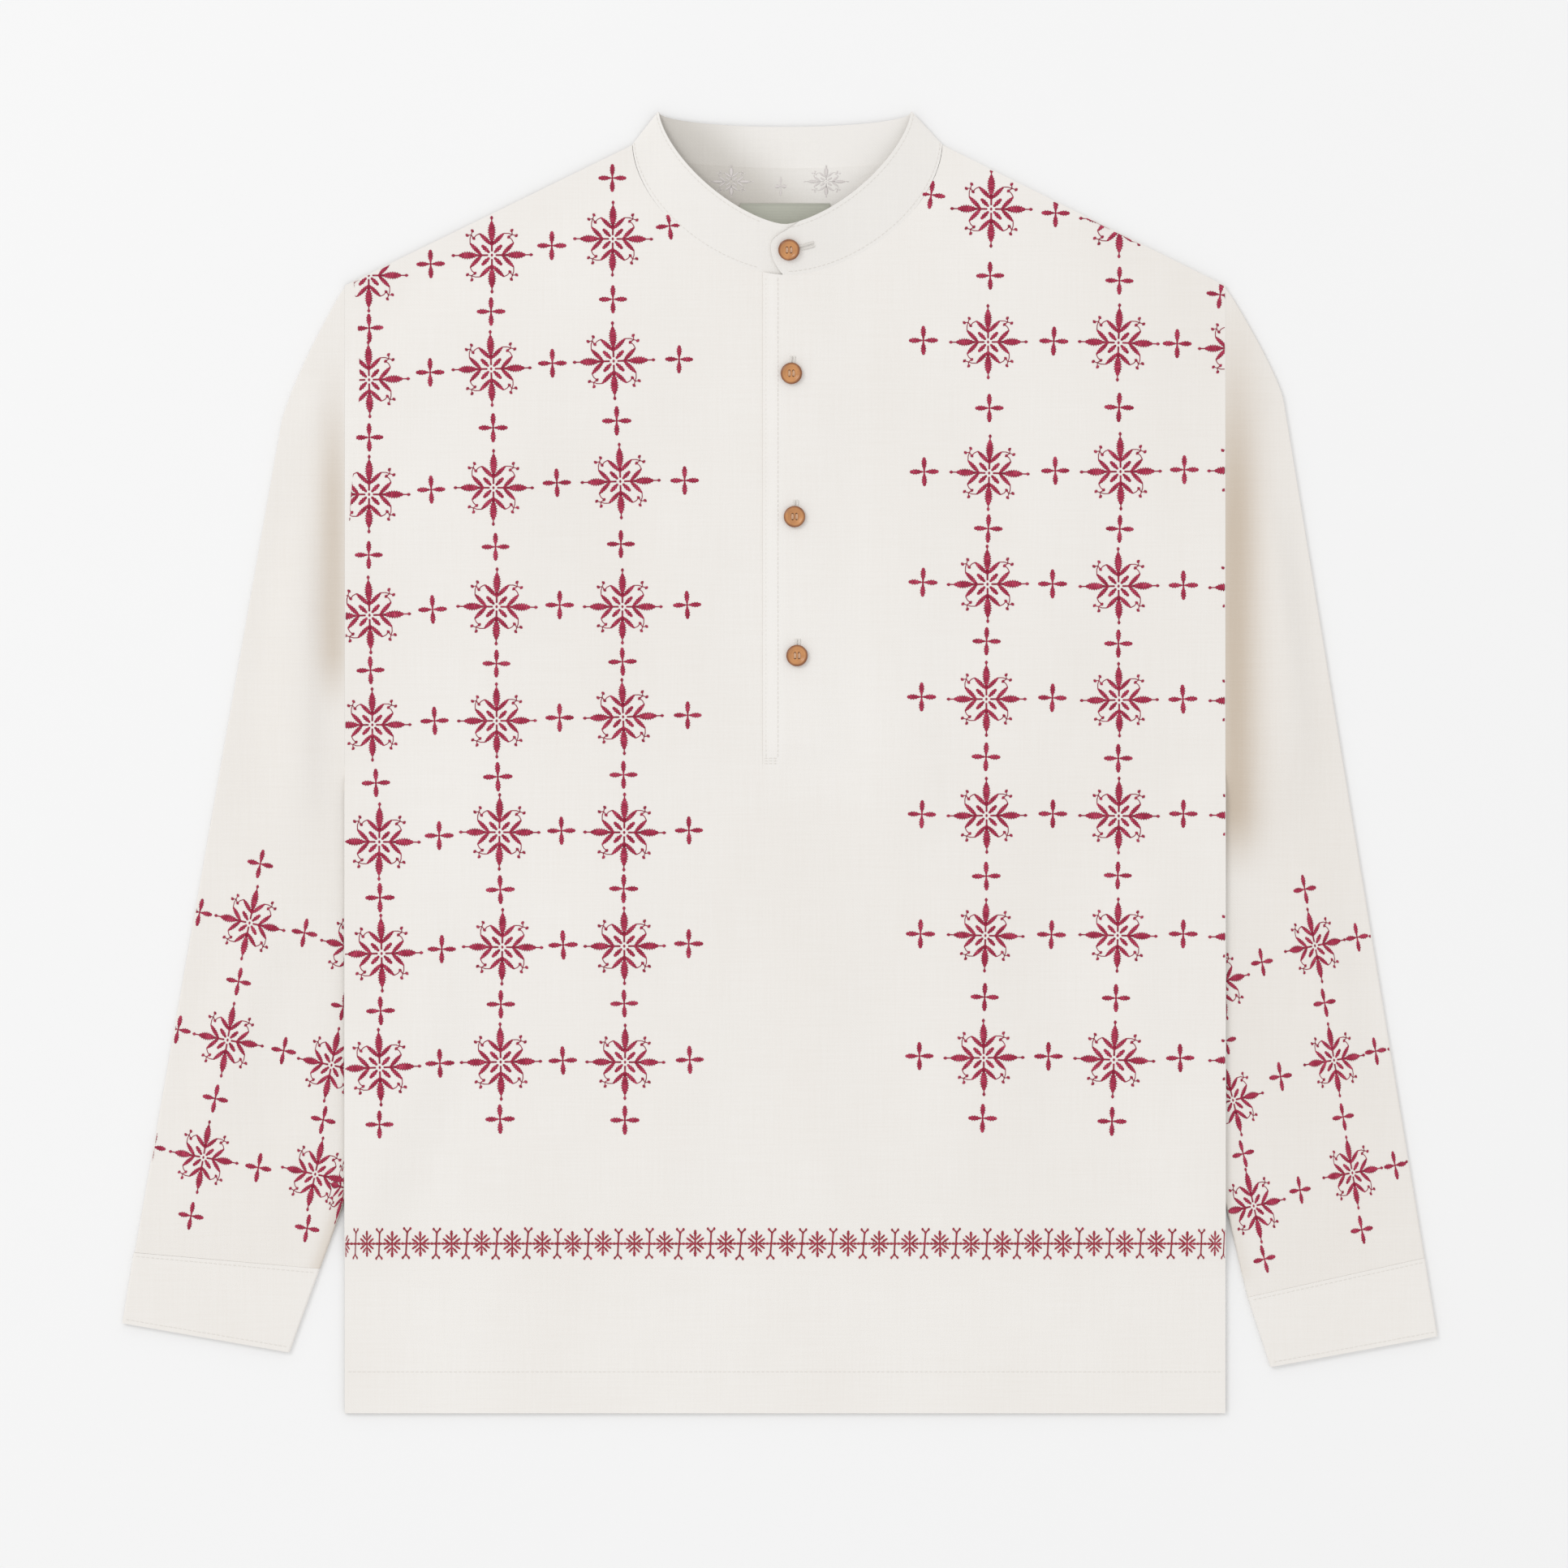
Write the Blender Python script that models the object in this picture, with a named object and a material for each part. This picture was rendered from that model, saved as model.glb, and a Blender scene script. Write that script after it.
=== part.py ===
"""Linen popover shirt, laid flat with its front up and the sleeves turned down under its sides.

x runs across the shirt, y from the hem to the collar, z up from the surface that it rests on.
Every cloth piece is a wall that follows one mid surface. The heights of the body, the lift over
the sleeves and the folds are functions of x and y, so that pieces on each other keep their space.
"""
import math

import bpy
import numpy as np

MM = 0.001

# Cloth walls and the space left between pieces
WALL = 1.2 * MM
SEAM = 0.3 * MM
LABEL_WALL = 1.0 * MM
MIDDLE = WALL + SEAM / 2

# Body panels
BODY_LEFT = -262.6 * MM
BODY_RIGHT = 268.8 * MM
HEM_Y = -392.7 * MM
SHOULDER_Y = 287.7 * MM
UNDERARM_Y = 0.0 * MM

# Neckline, a superellipse in front and a flat arc at the back
NECK_CENTRE = 4.5 * MM
NECK_HALF = 93.2 * MM
NECK_TOP_Y = 372.5 * MM
NECK_FRONT_DROP = 78.7 * MM
NECK_BACK_DROP = 14.0 * MM
NECK_POWER = 1.74
NECK_TIP_SPACE = 0.3 * MM
NECK_TIP_POWER = 6
NECK_RISE = 3.5 * MM
NECK_RISE_LENGTH = 145.0 * MM
NECK_RISE_FADE = 70.0 * MM

# Band collar: its free edge, and how far it stands up
BAND_CENTRE = 3.0 * MM
BAND_HALF = 76.0 * MM
BAND_TOP_Y = 392.3 * MM
BAND_FRONT_DROP = 68.4 * MM
BAND_BACK_DROP = 8.8 * MM
BAND_POWER = 1.5
BAND_FRONT_STAND = 7.0 * MM
BAND_BACK_STAND = 1.6 * MM
BAND_SIDE_STAND = 0.35
BAND_FOLD_DEPTH = 0.3
BAND_FOLD_OPENING = 0.5 * MM
BAND_OPENING_DEPTH = 0.35
BAND_OVER_END_X = -5.4 * MM
BAND_END_TOP_CUT = 17.2 * MM
BAND_END_TOP_POWER = 2.2
BAND_END_FOOT_CUT = 7.4 * MM
BAND_END_FOOT_POWER = 2

# Placket: the slit, the side that laps over, and the strip below it
SLIT_X = -10.4 * MM
SLIT_END_Y = -5.0 * MM
LAP_RISE = 1.8 * MM
LAP_FLAT_X = 18.0 * MM
LAP_FADE_X = 50.0 * MM
LAP_FADE_Y = 18.0 * MM
STRIP_FOOT_SPACE = 3.0 * MM

# Sleeves, one row for each side: the outer edge runs straight from the corner down to the cuff
SLEEVES = {
    "left": dict(side=-1.0, body_x=BODY_LEFT, corner=(300.9 * MM, 205.0 * MM), slope=0.1767,
                 shoulder_in=23.6 * MM, round_power=1.4, leave_y=-265.0 * MM,
                 seam_outer=(390.0 * MM, -295.7 * MM), seam_inner=(277.6 * MM, -305.5 * MM),
                 end_outer=(396.9 * MM, -338.3 * MM), end_inner=(296.0 * MM, -356.0 * MM)),
    "right": dict(side=1.0, body_x=BODY_RIGHT, corner=(303.7 * MM, 220.3 * MM), slope=0.1645,
                  shoulder_in=23.8 * MM, round_power=1.3, leave_y=-267.0 * MM,
                  seam_outer=(389.2 * MM, -298.9 * MM), seam_inner=(282.2 * MM, -322.7 * MM),
                  end_outer=(396.9 * MM, -346.2 * MM), end_inner=(296.0 * MM, -364.8 * MM)),
}
SLEEVE_HEAD_DROP = 1.0 * MM
TUCK_START_Y = -30.0 * MM
TUCK_REACH = 36.0 * MM
TUCK_MARGIN = 10.0 * MM
TUCK_FADE = 36.0 * MM
TUCK_LIFT = 3.4 * MM
TUCK_LIFT_TOP_Y = 7.0 * MM
TUCK_LIFT_RUN = 22.0 * MM
TUCK_LIFT_FOOT = 45.0 * MM
TUCK_LIFT_FOOT_LEVEL = 4.0 * MM

# Soft folds of the front, from end to end, with half width and height
FRONT_FOLDS = [
    dict(ends=((-150, 250), (-165, 20)), width=26, height=2.2),
    dict(ends=((-196, 40), (-186, -230)), width=30, height=1.8),
    dict(ends=((-118, 120), (-100, -190)), width=28, height=2.4),
    dict(ends=((-60, 210), (-48, -40)), width=24, height=1.6),
    dict(ends=((-50, -110), (-72, -340)), width=30, height=2.0),
    dict(ends=((66, 190), (78, -120)), width=28, height=2.2),
    dict(ends=((118, -30), (98, -320)), width=32, height=2.0),
    dict(ends=((150, 240), (168, -30)), width=28, height=2.4),
    dict(ends=((212, 70), (204, -240)), width=26, height=2.0),
    dict(ends=((20, -60), (34, -320)), width=26, height=1.4),
]
# Soft folds of the sleeves, measured out from the body's edge and along it
SLEEVE_FOLDS = [
    dict(side=-1.0, ends=((26, 175), (30, -70)), width=17, height=5.5),
    dict(side=-1.0, ends=((40, -60), (84, -240)), width=18, height=2.6),
    dict(side=-1.0, ends=((22, 240), (30, 190)), width=14, height=1.6),
    dict(side=1.0, ends=((32, 200), (36, -60)), width=19, height=6.5),
    dict(side=1.0, ends=((44, -50), (80, -225)), width=18, height=2.8),
    dict(side=1.0, ends=((20, 250), (28, 205)), width=13, height=1.6),
]
FOLD_END_SHARE = 0.35
EDGE_FADE = 46.0 * MM
SLEEVE_EDGE_FADE = 24.0 * MM
SLEEVE_CUFF_FADE = 40.0 * MM

# Neck label, sewn inside the back
LABEL_LEFT = -24.0 * MM
LABEL_RIGHT = 30.1 * MM
LABEL_TOP_Y = 337.4 * MM
LABEL_FOOT_Y = 300.0 * MM

# Buttons: centres on the lapped side and the profile as radius and height
BUTTON_CENTRES = [(5.4 * MM, 310.0 * MM), (6.9 * MM, 234.5 * MM), (8.8 * MM, 148.2 * MM),
                  (10.3 * MM, 64.4 * MM)]
BUTTON_PROFILE = [(4.7, 0.0), (6.1, 0.5), (6.5, 1.3), (6.1, 2.2), (5.1, 2.6), (3.6, 2.1)]
BUTTON_DISH_HEIGHT = 1.9 * MM
BUTTON_LIFT = SEAM + 0.1 * MM
BUTTON_SEAT_STEP = 6.0 * MM
BUTTON_ON_BAND = 0.5
BUTTON_SEGMENTS = 18

# Mesh steps
BODY_ROWS_ABOVE = 13
BODY_ROWS_BELOW = 16
SHOULDER_STEPS = 6
SHOULDER_STEP_POWER = 1.3
NECK_SIDE_DEGREES = np.array([90.0, 86.0, 78.0, 66.0, 50.0, 34.0, 20.0])
NECK_BACK_DEGREES = np.array([90.0, 94.0, 102.0, 114.0, 136.0, 158.0, 180.0])
NECK_NEAR_MIDDLE_DEGREES = -9.0
SLEEVE_RINGS = 20
SLEEVE_SPREAD_POWER = 1.25
ACROSS_FRACTIONS = np.array([0.09, 0.2, 0.33, 0.47, 0.62, 0.77, 0.9])
CUFF_RINGS = 3
STRIP_ROWS = 13
BAND_ROWS = 4

# Steps for slopes, as an angle round the neck and as a share of the collar's height
NECK_SLOPE_STEP = 0.01
BAND_SLOPE_STEP = 0.004

LINEN = (0.847, 0.823, 0.783)
LABEL_GREY = (0.578, 0.597, 0.515)
HORN = (0.515, 0.188, 0.053)


def smooth(t):
    """Zero below 0, one above 1 and an S curve between."""
    t = np.clip(t, 0.0, 1.0)
    return t * t * (3.0 - 2.0 * t)


def neck_curve(angle):
    """Seam of collar and body: angle 0 is the front middle, pi the back middle, pi/2 to the left."""
    across = np.sin(angle)
    front = NECK_FRONT_DROP * np.clip(1.0 - abs(across) ** NECK_POWER, 0, 1) ** (1.0 / NECK_POWER)
    back = NECK_BACK_DROP * abs(np.cos(angle))
    drop = np.where(np.cos(angle) > 0, front, back)
    return NECK_CENTRE - NECK_HALF * across, NECK_TOP_Y - drop


def band_curve(angle):
    """Free edge of the collar, with the same angle as the seam."""
    across = np.sin(angle)
    front = BAND_FRONT_DROP * np.clip(1.0 - abs(across) ** BAND_POWER, 0, 1) ** (1.0 / BAND_POWER)
    back = BAND_BACK_DROP * abs(np.cos(angle))
    drop = np.where(np.cos(angle) > 0, front, back)
    return BAND_CENTRE - BAND_HALF * across, BAND_TOP_Y - drop


def neckline(angle):
    """Panel edge beside the collar: the seam moved outwards by the space between pieces."""
    x0, y0 = neck_curve(angle - NECK_SLOPE_STEP)
    x1, y1 = neck_curve(angle + NECK_SLOPE_STEP)
    x, y = neck_curve(angle)
    length = np.hypot(x1 - x0, y1 - y0)
    outward = -np.sign(np.sin(angle))
    out = SEAM + (WALL / 2 + NECK_TIP_SPACE) * abs(np.sin(angle)) ** NECK_TIP_POWER
    return x + outward * abs(y1 - y0) * out / length, y - abs(x1 - x0) * out / length


def sleeve_outer_x(sleeve, y):
    """Outer edge of a sleeve: a straight line up to a soft corner, then in to the shoulder point."""
    corner_x, corner_y = sleeve["corner"]
    straight = corner_x + (corner_y - y) * sleeve["slope"]
    rise = np.clip((y - corner_y) / (SHOULDER_Y - corner_y), 0, 1)
    return sleeve["side"] * (straight - sleeve["shoulder_in"] * rise ** sleeve["round_power"])


def tuck_reach(sleeve, y):
    """How far the sleeve's inner edge lies inside the body's side at height y."""
    run = np.clip((TUCK_START_Y - y) / (TUCK_START_Y - sleeve["leave_y"]), 0, 1)
    return TUCK_REACH * np.sin(math.pi * run)


def sleeve_inner_x(sleeve, y):
    """Inner edge of a sleeve: beside the body, then under it, then out to the cuff."""
    foot_x, foot_y = sleeve["seam_inner"]
    edge = abs(sleeve["body_x"])
    below = np.clip((sleeve["leave_y"] - y) / (sleeve["leave_y"] - foot_y), 0, 1)
    out = edge + SEAM + (foot_x - edge - SEAM) * below
    return sleeve["side"] * (out - tuck_reach(sleeve, y))


def tuck_lift(x, y):
    """Height by which the sleeves raise the body's sides."""
    total = np.zeros(np.shape(x))
    for sleeve in SLEEVES.values():
        inside = sleeve["side"] * (sleeve["body_x"] - x)
        cover = smooth((tuck_reach(sleeve, y) + TUCK_MARGIN + TUCK_FADE - inside) / TUCK_FADE)
        head = smooth((TUCK_LIFT_TOP_Y - y) / TUCK_LIFT_RUN)
        foot = smooth((y - sleeve["leave_y"] + TUCK_LIFT_FOOT) / (TUCK_LIFT_FOOT - TUCK_LIFT_FOOT_LEVEL))
        total = total + TUCK_LIFT * cover * head * foot
    return total


def fold(x, y, ends, width, height):
    """A soft ridge between two ends: a bell across and a fade along."""
    (x0, y0), (x1, y1) = ends
    length = math.hypot(x1 - x0, y1 - y0) * MM
    along_x, along_y = (x1 - x0) * MM / length, (y1 - y0) * MM / length
    along = ((x - x0 * MM) * along_x + (y - y0 * MM) * along_y) / length
    across = (x - x0 * MM) * along_y - (y - y0 * MM) * along_x
    ends_fade = smooth(along / FOLD_END_SHARE) * smooth((1.0 - along) / FOLD_END_SHARE)
    return height * MM * np.exp(-(across / (width * MM)) ** 2) * ends_fade


def shoulder_y(x):
    """Height of the shoulder line over x, level across the neck."""
    left_x, left_y = neckline(np.array(math.pi / 2))
    right_x, right_y = neckline(np.array(-math.pi / 2))
    rise_left = np.clip((x - BODY_LEFT) / (left_x - BODY_LEFT), 0, 1)
    rise_right = np.clip((BODY_RIGHT - x) / (BODY_RIGHT - right_x), 0, 1)
    return SHOULDER_Y + np.minimum((left_y - SHOULDER_Y) * rise_left, (right_y - SHOULDER_Y) * rise_right)


def front_height(x, y):
    """Underside of the front panel."""
    below_shoulder = shoulder_y(x) - y
    edges = smooth((x - BODY_LEFT) / EDGE_FADE) * smooth((BODY_RIGHT - x) / EDGE_FADE)
    edges = edges * smooth((y - HEM_Y) / EDGE_FADE) * smooth(below_shoulder / EDGE_FADE)
    relief = sum(fold(x, y, **row) for row in FRONT_FOLDS)
    neck = NECK_RISE * smooth(below_shoulder / NECK_RISE_FADE)
    neck = neck * smooth((y - NECK_TOP_Y + NECK_FRONT_DROP) / NECK_RISE_LENGTH + 1.0)
    return WALL + SEAM + tuck_lift(x, y) + relief * edges + neck * edges


def lap(x, y):
    """Extra height of the side of the front that laps over the placket strip."""
    across = smooth((LAP_FADE_X - x) / (LAP_FADE_X - LAP_FLAT_X))
    return LAP_RISE * across * smooth((y - SLIT_END_Y) / LAP_FADE_Y)


def sleeve_relief(sleeve, x, y):
    """Folds on a sleeve's upper side, gone at its edges and under the body."""
    out = sleeve["side"] * (x - sleeve["body_x"])
    to_edge = sleeve["side"] * (sleeve_outer_x(sleeve, y) - x)
    along_cuff = (y - sleeve["seam_outer"][1]) / SLEEVE_CUFF_FADE
    fade = smooth(out / SLEEVE_EDGE_FADE) * smooth(to_edge / SLEEVE_EDGE_FADE) * smooth(along_cuff)
    rows = [row for row in SLEEVE_FOLDS if row["side"] == sleeve["side"]]
    relief = sum(fold(out, y, row["ends"], row["width"], row["height"]) for row in rows)
    return relief * fade


def material_for(name, colour, roughness):
    """One Principled material."""
    material = bpy.data.materials.new(name)
    material.use_nodes = True
    shader = material.node_tree.nodes["Principled BSDF"]
    shader.inputs["Base Color"].default_value = (*colour, 1.0)
    shader.inputs["Roughness"].default_value = roughness
    shader.inputs["Metallic"].default_value = 0.0
    material.diffuse_color = (*colour, 1.0)
    return material


def add_object(name, points, faces, colour=LINEN, roughness=0.85):
    """A mesh object with smooth faces and a material of its own."""
    mesh = bpy.data.meshes.new(name)
    mesh.from_pydata(np.asarray(points).tolist(), [], faces)
    mesh.update()
    mesh.shade_smooth()
    mesh.materials.append(material_for(name + "_material", colour, roughness))
    thing = bpy.data.objects.new(name, mesh)
    bpy.context.scene.collection.objects.link(thing)
    return thing


def grid_faces(ids):
    """Triangles of a grid of point numbers, rows down and columns to the right, seen from above."""
    head_left, head_right = ids[:-1, :-1].ravel(), ids[:-1, 1:].ravel()
    foot_left, foot_right = ids[1:, :-1].ravel(), ids[1:, 1:].ravel()
    lower = np.stack([head_left, foot_left, foot_right], axis=1)
    upper = np.stack([head_left, foot_right, head_right], axis=1)
    return np.vstack([lower, upper]).tolist()


def thick_sheet(name, upper, lower, faces, **look):
    """A closed wall from an upper and a lower side and a strip along every free edge."""
    count = len(upper)
    edges = [(face[k], face[(k + 1) % 3]) for face in faces for k in range(3)]
    known = set(edges)
    rims = [(b, a, a + count, b + count) for a, b in edges if (b, a) not in known]
    under = [[index + count for index in reversed(face)] for face in faces]
    return add_object(name, np.vstack([upper, lower]), faces + under + rims, **look)


def tube(name, outer, inner, **look):
    """A closed wall between an outer and an inner tube, both rings by points, open at its ends."""
    rings, count = outer.shape[:2]
    ids = np.arange(rings * count).reshape(rings, count)
    around = np.concatenate([ids, ids[:, :1]], axis=1)
    outside = grid_faces(around)
    shift = rings * count
    inside = [[index + shift for index in reversed(face)] for face in outside]
    head, foot = around[0].tolist(), around[-1].tolist()
    first = [[a, b, b + shift, a + shift] for a, b in zip(head[:-1], head[1:])]
    last = [[b, a, a + shift, b + shift] for a, b in zip(foot[:-1], foot[1:])]
    points = np.vstack([outer.reshape(-1, 3), inner.reshape(-1, 3)])
    faces = outside + inside + first + last
    return add_object(name, points, faces, **look)


def flat_ring(outer_point, inner_point, inset, radius, relief):
    """One ring of a flattened tube, as a loop from the outer edge over the top and back below."""
    start, stop = np.array(outer_point), np.array(inner_point)
    length = np.linalg.norm(stop - start)
    direction = (stop - start) / length
    reach = length - 2.0 * (inset + radius)
    steps = inset + radius + reach * np.concatenate([[0.0], ACROSS_FRACTIONS, [1.0]])
    distances = np.concatenate([[inset], steps, [length - inset], steps[::-1]])
    heights = np.concatenate([[0.0], np.full(len(steps), radius), [0.0], np.full(len(steps), -radius)])
    spots = start + distances[:, None] * direction
    ridge = relief(spots[:, 0], spots[:, 1])
    ridge[len(steps) + 2:] = 0.0
    ridge[[0, len(steps) + 1]] *= 0.5
    return np.column_stack([spots, MIDDLE + heights + ridge])


def body_rows():
    """Fractions from top to hem, with one row at the end of the slit."""
    neck_y = neckline(np.array(0.0))[1]
    slit = (neck_y - SLIT_END_Y) / (neck_y - HEM_Y)
    above = np.linspace(0.0, slit, BODY_ROWS_ABOVE + 1)
    below = np.linspace(slit, 1.0, BODY_ROWS_BELOW + 1)
    return np.concatenate([above, below[1:]])


def shoulder_points(side_x, neck_angle):
    """Points of a shoulder line from the side to the neck, closer together at the side."""
    neck_x, neck_y = neckline(np.array(neck_angle))
    share = (np.arange(SHOULDER_STEPS) / SHOULDER_STEPS) ** SHOULDER_STEP_POWER
    return side_x + (neck_x - side_x) * share, SHOULDER_Y + (neck_y - SHOULDER_Y) * share


def panel_grid(top_x, top_y, foot_x):
    """Grid of plan points between a top edge and the hem."""
    share = body_rows()[:, None]
    return top_x + (foot_x - top_x) * share, top_y + (HEM_Y - top_y) * share


def make_front():
    """Front panel with the slit of the placket; its right side laps over and lies higher."""
    side_angles = np.radians(NECK_SIDE_DEGREES)
    left_angles = np.concatenate([side_angles, [neck_angle_at(SLIT_X)]])
    right_angles = np.concatenate([-side_angles, lap_angles()])
    sides = []
    for side_x, angles, edge_x in ((BODY_LEFT, left_angles, SLIT_X - SEAM / 2),
                                   (BODY_RIGHT, right_angles, SLIT_X + SEAM / 2)):
        shoulder_x, shoulder_height = shoulder_points(side_x, angles[0])
        neck_x, neck_y = neckline(angles)
        neck_x[-1] = edge_x
        top_x = np.concatenate([shoulder_x, neck_x])
        top_y = np.concatenate([shoulder_height, neck_y])
        foot_x = top_x.copy()
        foot_x[SHOULDER_STEPS:] = np.linspace(neck_x[0], edge_x, len(angles))
        sides.append(panel_grid(top_x, top_y, foot_x))
    (left_x, left_y), (right_x, right_y) = sides
    right_x, right_y = right_x[:, ::-1], right_y[:, ::-1]
    left_z = front_height(left_x, left_y)
    right_z = front_height(right_x, right_y) + lap(right_x, right_y)
    left = np.stack([left_x, left_y, left_z], axis=2)
    right = np.stack([right_x, right_y, right_z], axis=2)
    left_ids = np.arange(left[..., 0].size).reshape(left.shape[:2])
    right_ids = left_ids.size + np.arange(right[..., 0].size).reshape(right.shape[:2])
    right_ids[BODY_ROWS_ABOVE:, 0] = left_ids[BODY_ROWS_ABOVE:, -1]
    points = np.vstack([left.reshape(-1, 3), right.reshape(-1, 3)])
    faces = grid_faces(left_ids) + grid_faces(right_ids)
    points, faces = without_unused(points, faces)
    return thick_sheet("front", points + (0, 0, WALL), points, faces)


def without_unused(points, faces):
    """Drop the points that no face uses."""
    used = sorted({index for face in faces for index in face})
    new = {old: place for place, old in enumerate(used)}
    return points[used], [[new[index] for index in face] for face in faces]


def make_back():
    """Back panel, flat where it rests and raised over the sleeves at its sides."""
    left_x, left_y = shoulder_points(BODY_LEFT, math.pi / 2)
    right_x, right_y = shoulder_points(BODY_RIGHT, -math.pi / 2)
    half = np.radians(NECK_BACK_DEGREES)
    neck_x, neck_y = neckline(np.concatenate([half, 2 * math.pi - half[-2::-1]]))
    top_x = np.concatenate([left_x, neck_x, right_x[::-1]])
    top_y = np.concatenate([left_y, neck_y, right_y[::-1]])
    foot_x = top_x.copy()
    foot_x[SHOULDER_STEPS:-SHOULDER_STEPS] = np.linspace(neck_x[0], neck_x[-1], len(neck_x))
    x, y = panel_grid(top_x, top_y, foot_x)
    lower = np.stack([x, y, tuck_lift(x, y)], axis=2).reshape(-1, 3)
    ids = np.arange(x.size).reshape(x.shape)
    return thick_sheet("back", lower + (0, 0, WALL), lower, grid_faces(ids))


def sleeve_sections(sleeve):
    """Ends of every section line, from the armhole along the body's side to the cuff seam."""
    share = np.linspace(0.0, 1.0, SLEEVE_RINGS)
    top_y = SHOULDER_Y - SLEEVE_HEAD_DROP
    outer_y = top_y + (sleeve["seam_outer"][1] - top_y) * share
    inner_y = UNDERARM_Y + (sleeve["seam_inner"][1] - UNDERARM_Y) * share ** SLEEVE_SPREAD_POWER
    outer_x = sleeve_outer_x(sleeve, outer_y)
    inner_x = sleeve_inner_x(sleeve, inner_y)
    outer_x[0] = sleeve["body_x"] + sleeve["side"] * SEAM
    return np.column_stack([outer_x, outer_y]), np.column_stack([inner_x, inner_y])


def flattened_tube(name, outer_edge, inner_edge, relief, mirrored):
    """A cloth tube pressed flat: each ring is a loop over both layers."""
    def rings(inset, radius):
        return np.stack([flat_ring(a, b, inset, radius, relief)
                         for a, b in zip(outer_edge, inner_edge)])
    outer, inner = rings(0.0, MIDDLE), rings(WALL, SEAM / 2)
    if mirrored:
        outer, inner = outer[:, ::-1], inner[:, ::-1]
    return tube(name, outer, inner)


def make_sleeve(key):
    """Sleeve from the armhole to the cuff seam."""
    sleeve = SLEEVES[key]
    outer_edge, inner_edge = sleeve_sections(sleeve)
    return flattened_tube("sleeve_" + key, outer_edge, inner_edge,
                          lambda x, y: sleeve_relief(sleeve, x, y), key == "right")


def make_cuff(key):
    """Cuff band from the sleeve's seam to its free end."""
    sleeve = SLEEVES[key]
    side = np.array([sleeve["side"], 1.0])
    corners = {name: np.array(sleeve[name]) * side
               for name in ("seam_outer", "seam_inner", "end_outer", "end_inner")}
    share = np.linspace(0.0, 1.0, CUFF_RINGS)[:, None]
    edges = []
    for name in ("outer", "inner"):
        start, stop = corners["seam_" + name], corners["end_" + name]
        start = start + (stop - start) * SEAM / np.linalg.norm(stop - start)
        edges.append(start + (stop - start) * share)
    return flattened_tube("cuff_" + key, edges[0], edges[1],
                          lambda x, y: np.zeros(x.shape), key == "right")


def band_middle(angle, up):
    """Mid surface of the collar: angle round the neck, up from 0 at the seam to 1 at the edge."""
    foot_x, foot_y = neck_curve(angle)
    edge_x, edge_y = band_curve(angle)
    depth = np.cos(angle)
    turn = 1.0 - (1.0 - np.clip(abs(depth) / BAND_FOLD_DEPTH, 0, 1)) ** 2
    front_share = 0.5 + 0.5 * np.sign(depth) * turn
    opening = BAND_FOLD_OPENING * np.exp(-(depth / BAND_OPENING_DEPTH) ** 2)
    lapped = np.where(angle > math.pi, lap(foot_x, foot_y), 0.0)
    front_z = front_height(foot_x, foot_y) + WALL / 2 + lapped + opening
    front_z = front_z + BAND_FRONT_STAND * up * (BAND_SIDE_STAND + (1.0 - BAND_SIDE_STAND) * abs(depth))
    back_z = WALL / 2 + BAND_BACK_STAND * up ** 2
    z = back_z + (front_z - back_z) * front_share
    x = foot_x + (edge_x - foot_x) * up
    y = foot_y + (edge_y - foot_y) * up
    return np.stack([x, y, z], axis=-1)


def band_surface(angle, up, offset):
    """The collar's mid surface moved along its normal."""
    along = band_middle(angle + BAND_SLOPE_STEP, up) - band_middle(angle - BAND_SLOPE_STEP, up)
    rise = band_middle(angle, up + BAND_SLOPE_STEP) - band_middle(angle, up - BAND_SLOPE_STEP)
    normal = np.cross(rise, along)
    normal /= np.linalg.norm(normal, axis=-1, keepdims=True)
    return band_middle(angle, up) + offset * normal


def neck_angle_at(x):
    """Angle of the front seam's point at x near the front middle."""
    return math.asin((NECK_CENTRE - x) / NECK_HALF)


def lap_angles():
    """Seam angles of the lapping side near the front middle, up to the slit."""
    near_middle = math.radians(NECK_NEAR_MIDDLE_DEGREES)
    lap_foot_x = BAND_OVER_END_X + BAND_END_FOOT_CUT
    return np.array([near_middle, neck_angle_at(lap_foot_x), neck_angle_at(SLIT_X)])


def band_grid():
    """Angle and height of every collar point, at the panels' own seam points; the lapped end is rounded."""
    side, back = np.radians(NECK_SIDE_DEGREES), np.radians(NECK_BACK_DEGREES)
    near_middle, lap_foot, slit = lap_angles()
    left = np.concatenate([[near_middle, lap_foot, slit], side[:0:-1]])
    right = 2 * math.pi - np.concatenate([back[-2::-1], side[1:], [-near_middle, 0.0]])
    angles = np.concatenate([left, back, right])
    up = np.linspace(0.0, 1.0, BAND_ROWS + 1)
    end_x = BAND_OVER_END_X + BAND_END_TOP_CUT * np.clip(2 * up - 1, 0, 1) ** BAND_END_TOP_POWER
    end_x = end_x + BAND_END_FOOT_CUT * np.clip(1 - 2 * up, 0, 1) ** BAND_END_FOOT_POWER
    centre = NECK_CENTRE + (BAND_CENTRE - NECK_CENTRE) * up
    half_width = NECK_HALF + (BAND_HALF - NECK_HALF) * up
    grid = np.repeat(angles[None, :], len(up), axis=0)
    grid[:, -1] = 2 * math.pi + np.arcsin((centre - end_x) / half_width)
    return grid, np.repeat(up[:, None], len(angles), axis=1)


def make_collar():
    """Band collar: one strip round the neck with its right end over its left."""
    angle, up = band_grid()
    upper = band_surface(angle, up, WALL / 2).reshape(-1, 3)
    lower = band_surface(angle, up, -WALL / 2).reshape(-1, 3)
    ids = np.arange(angle.size).reshape(angle.shape)
    return thick_sheet("collar", upper, lower, grid_faces(ids))


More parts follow.
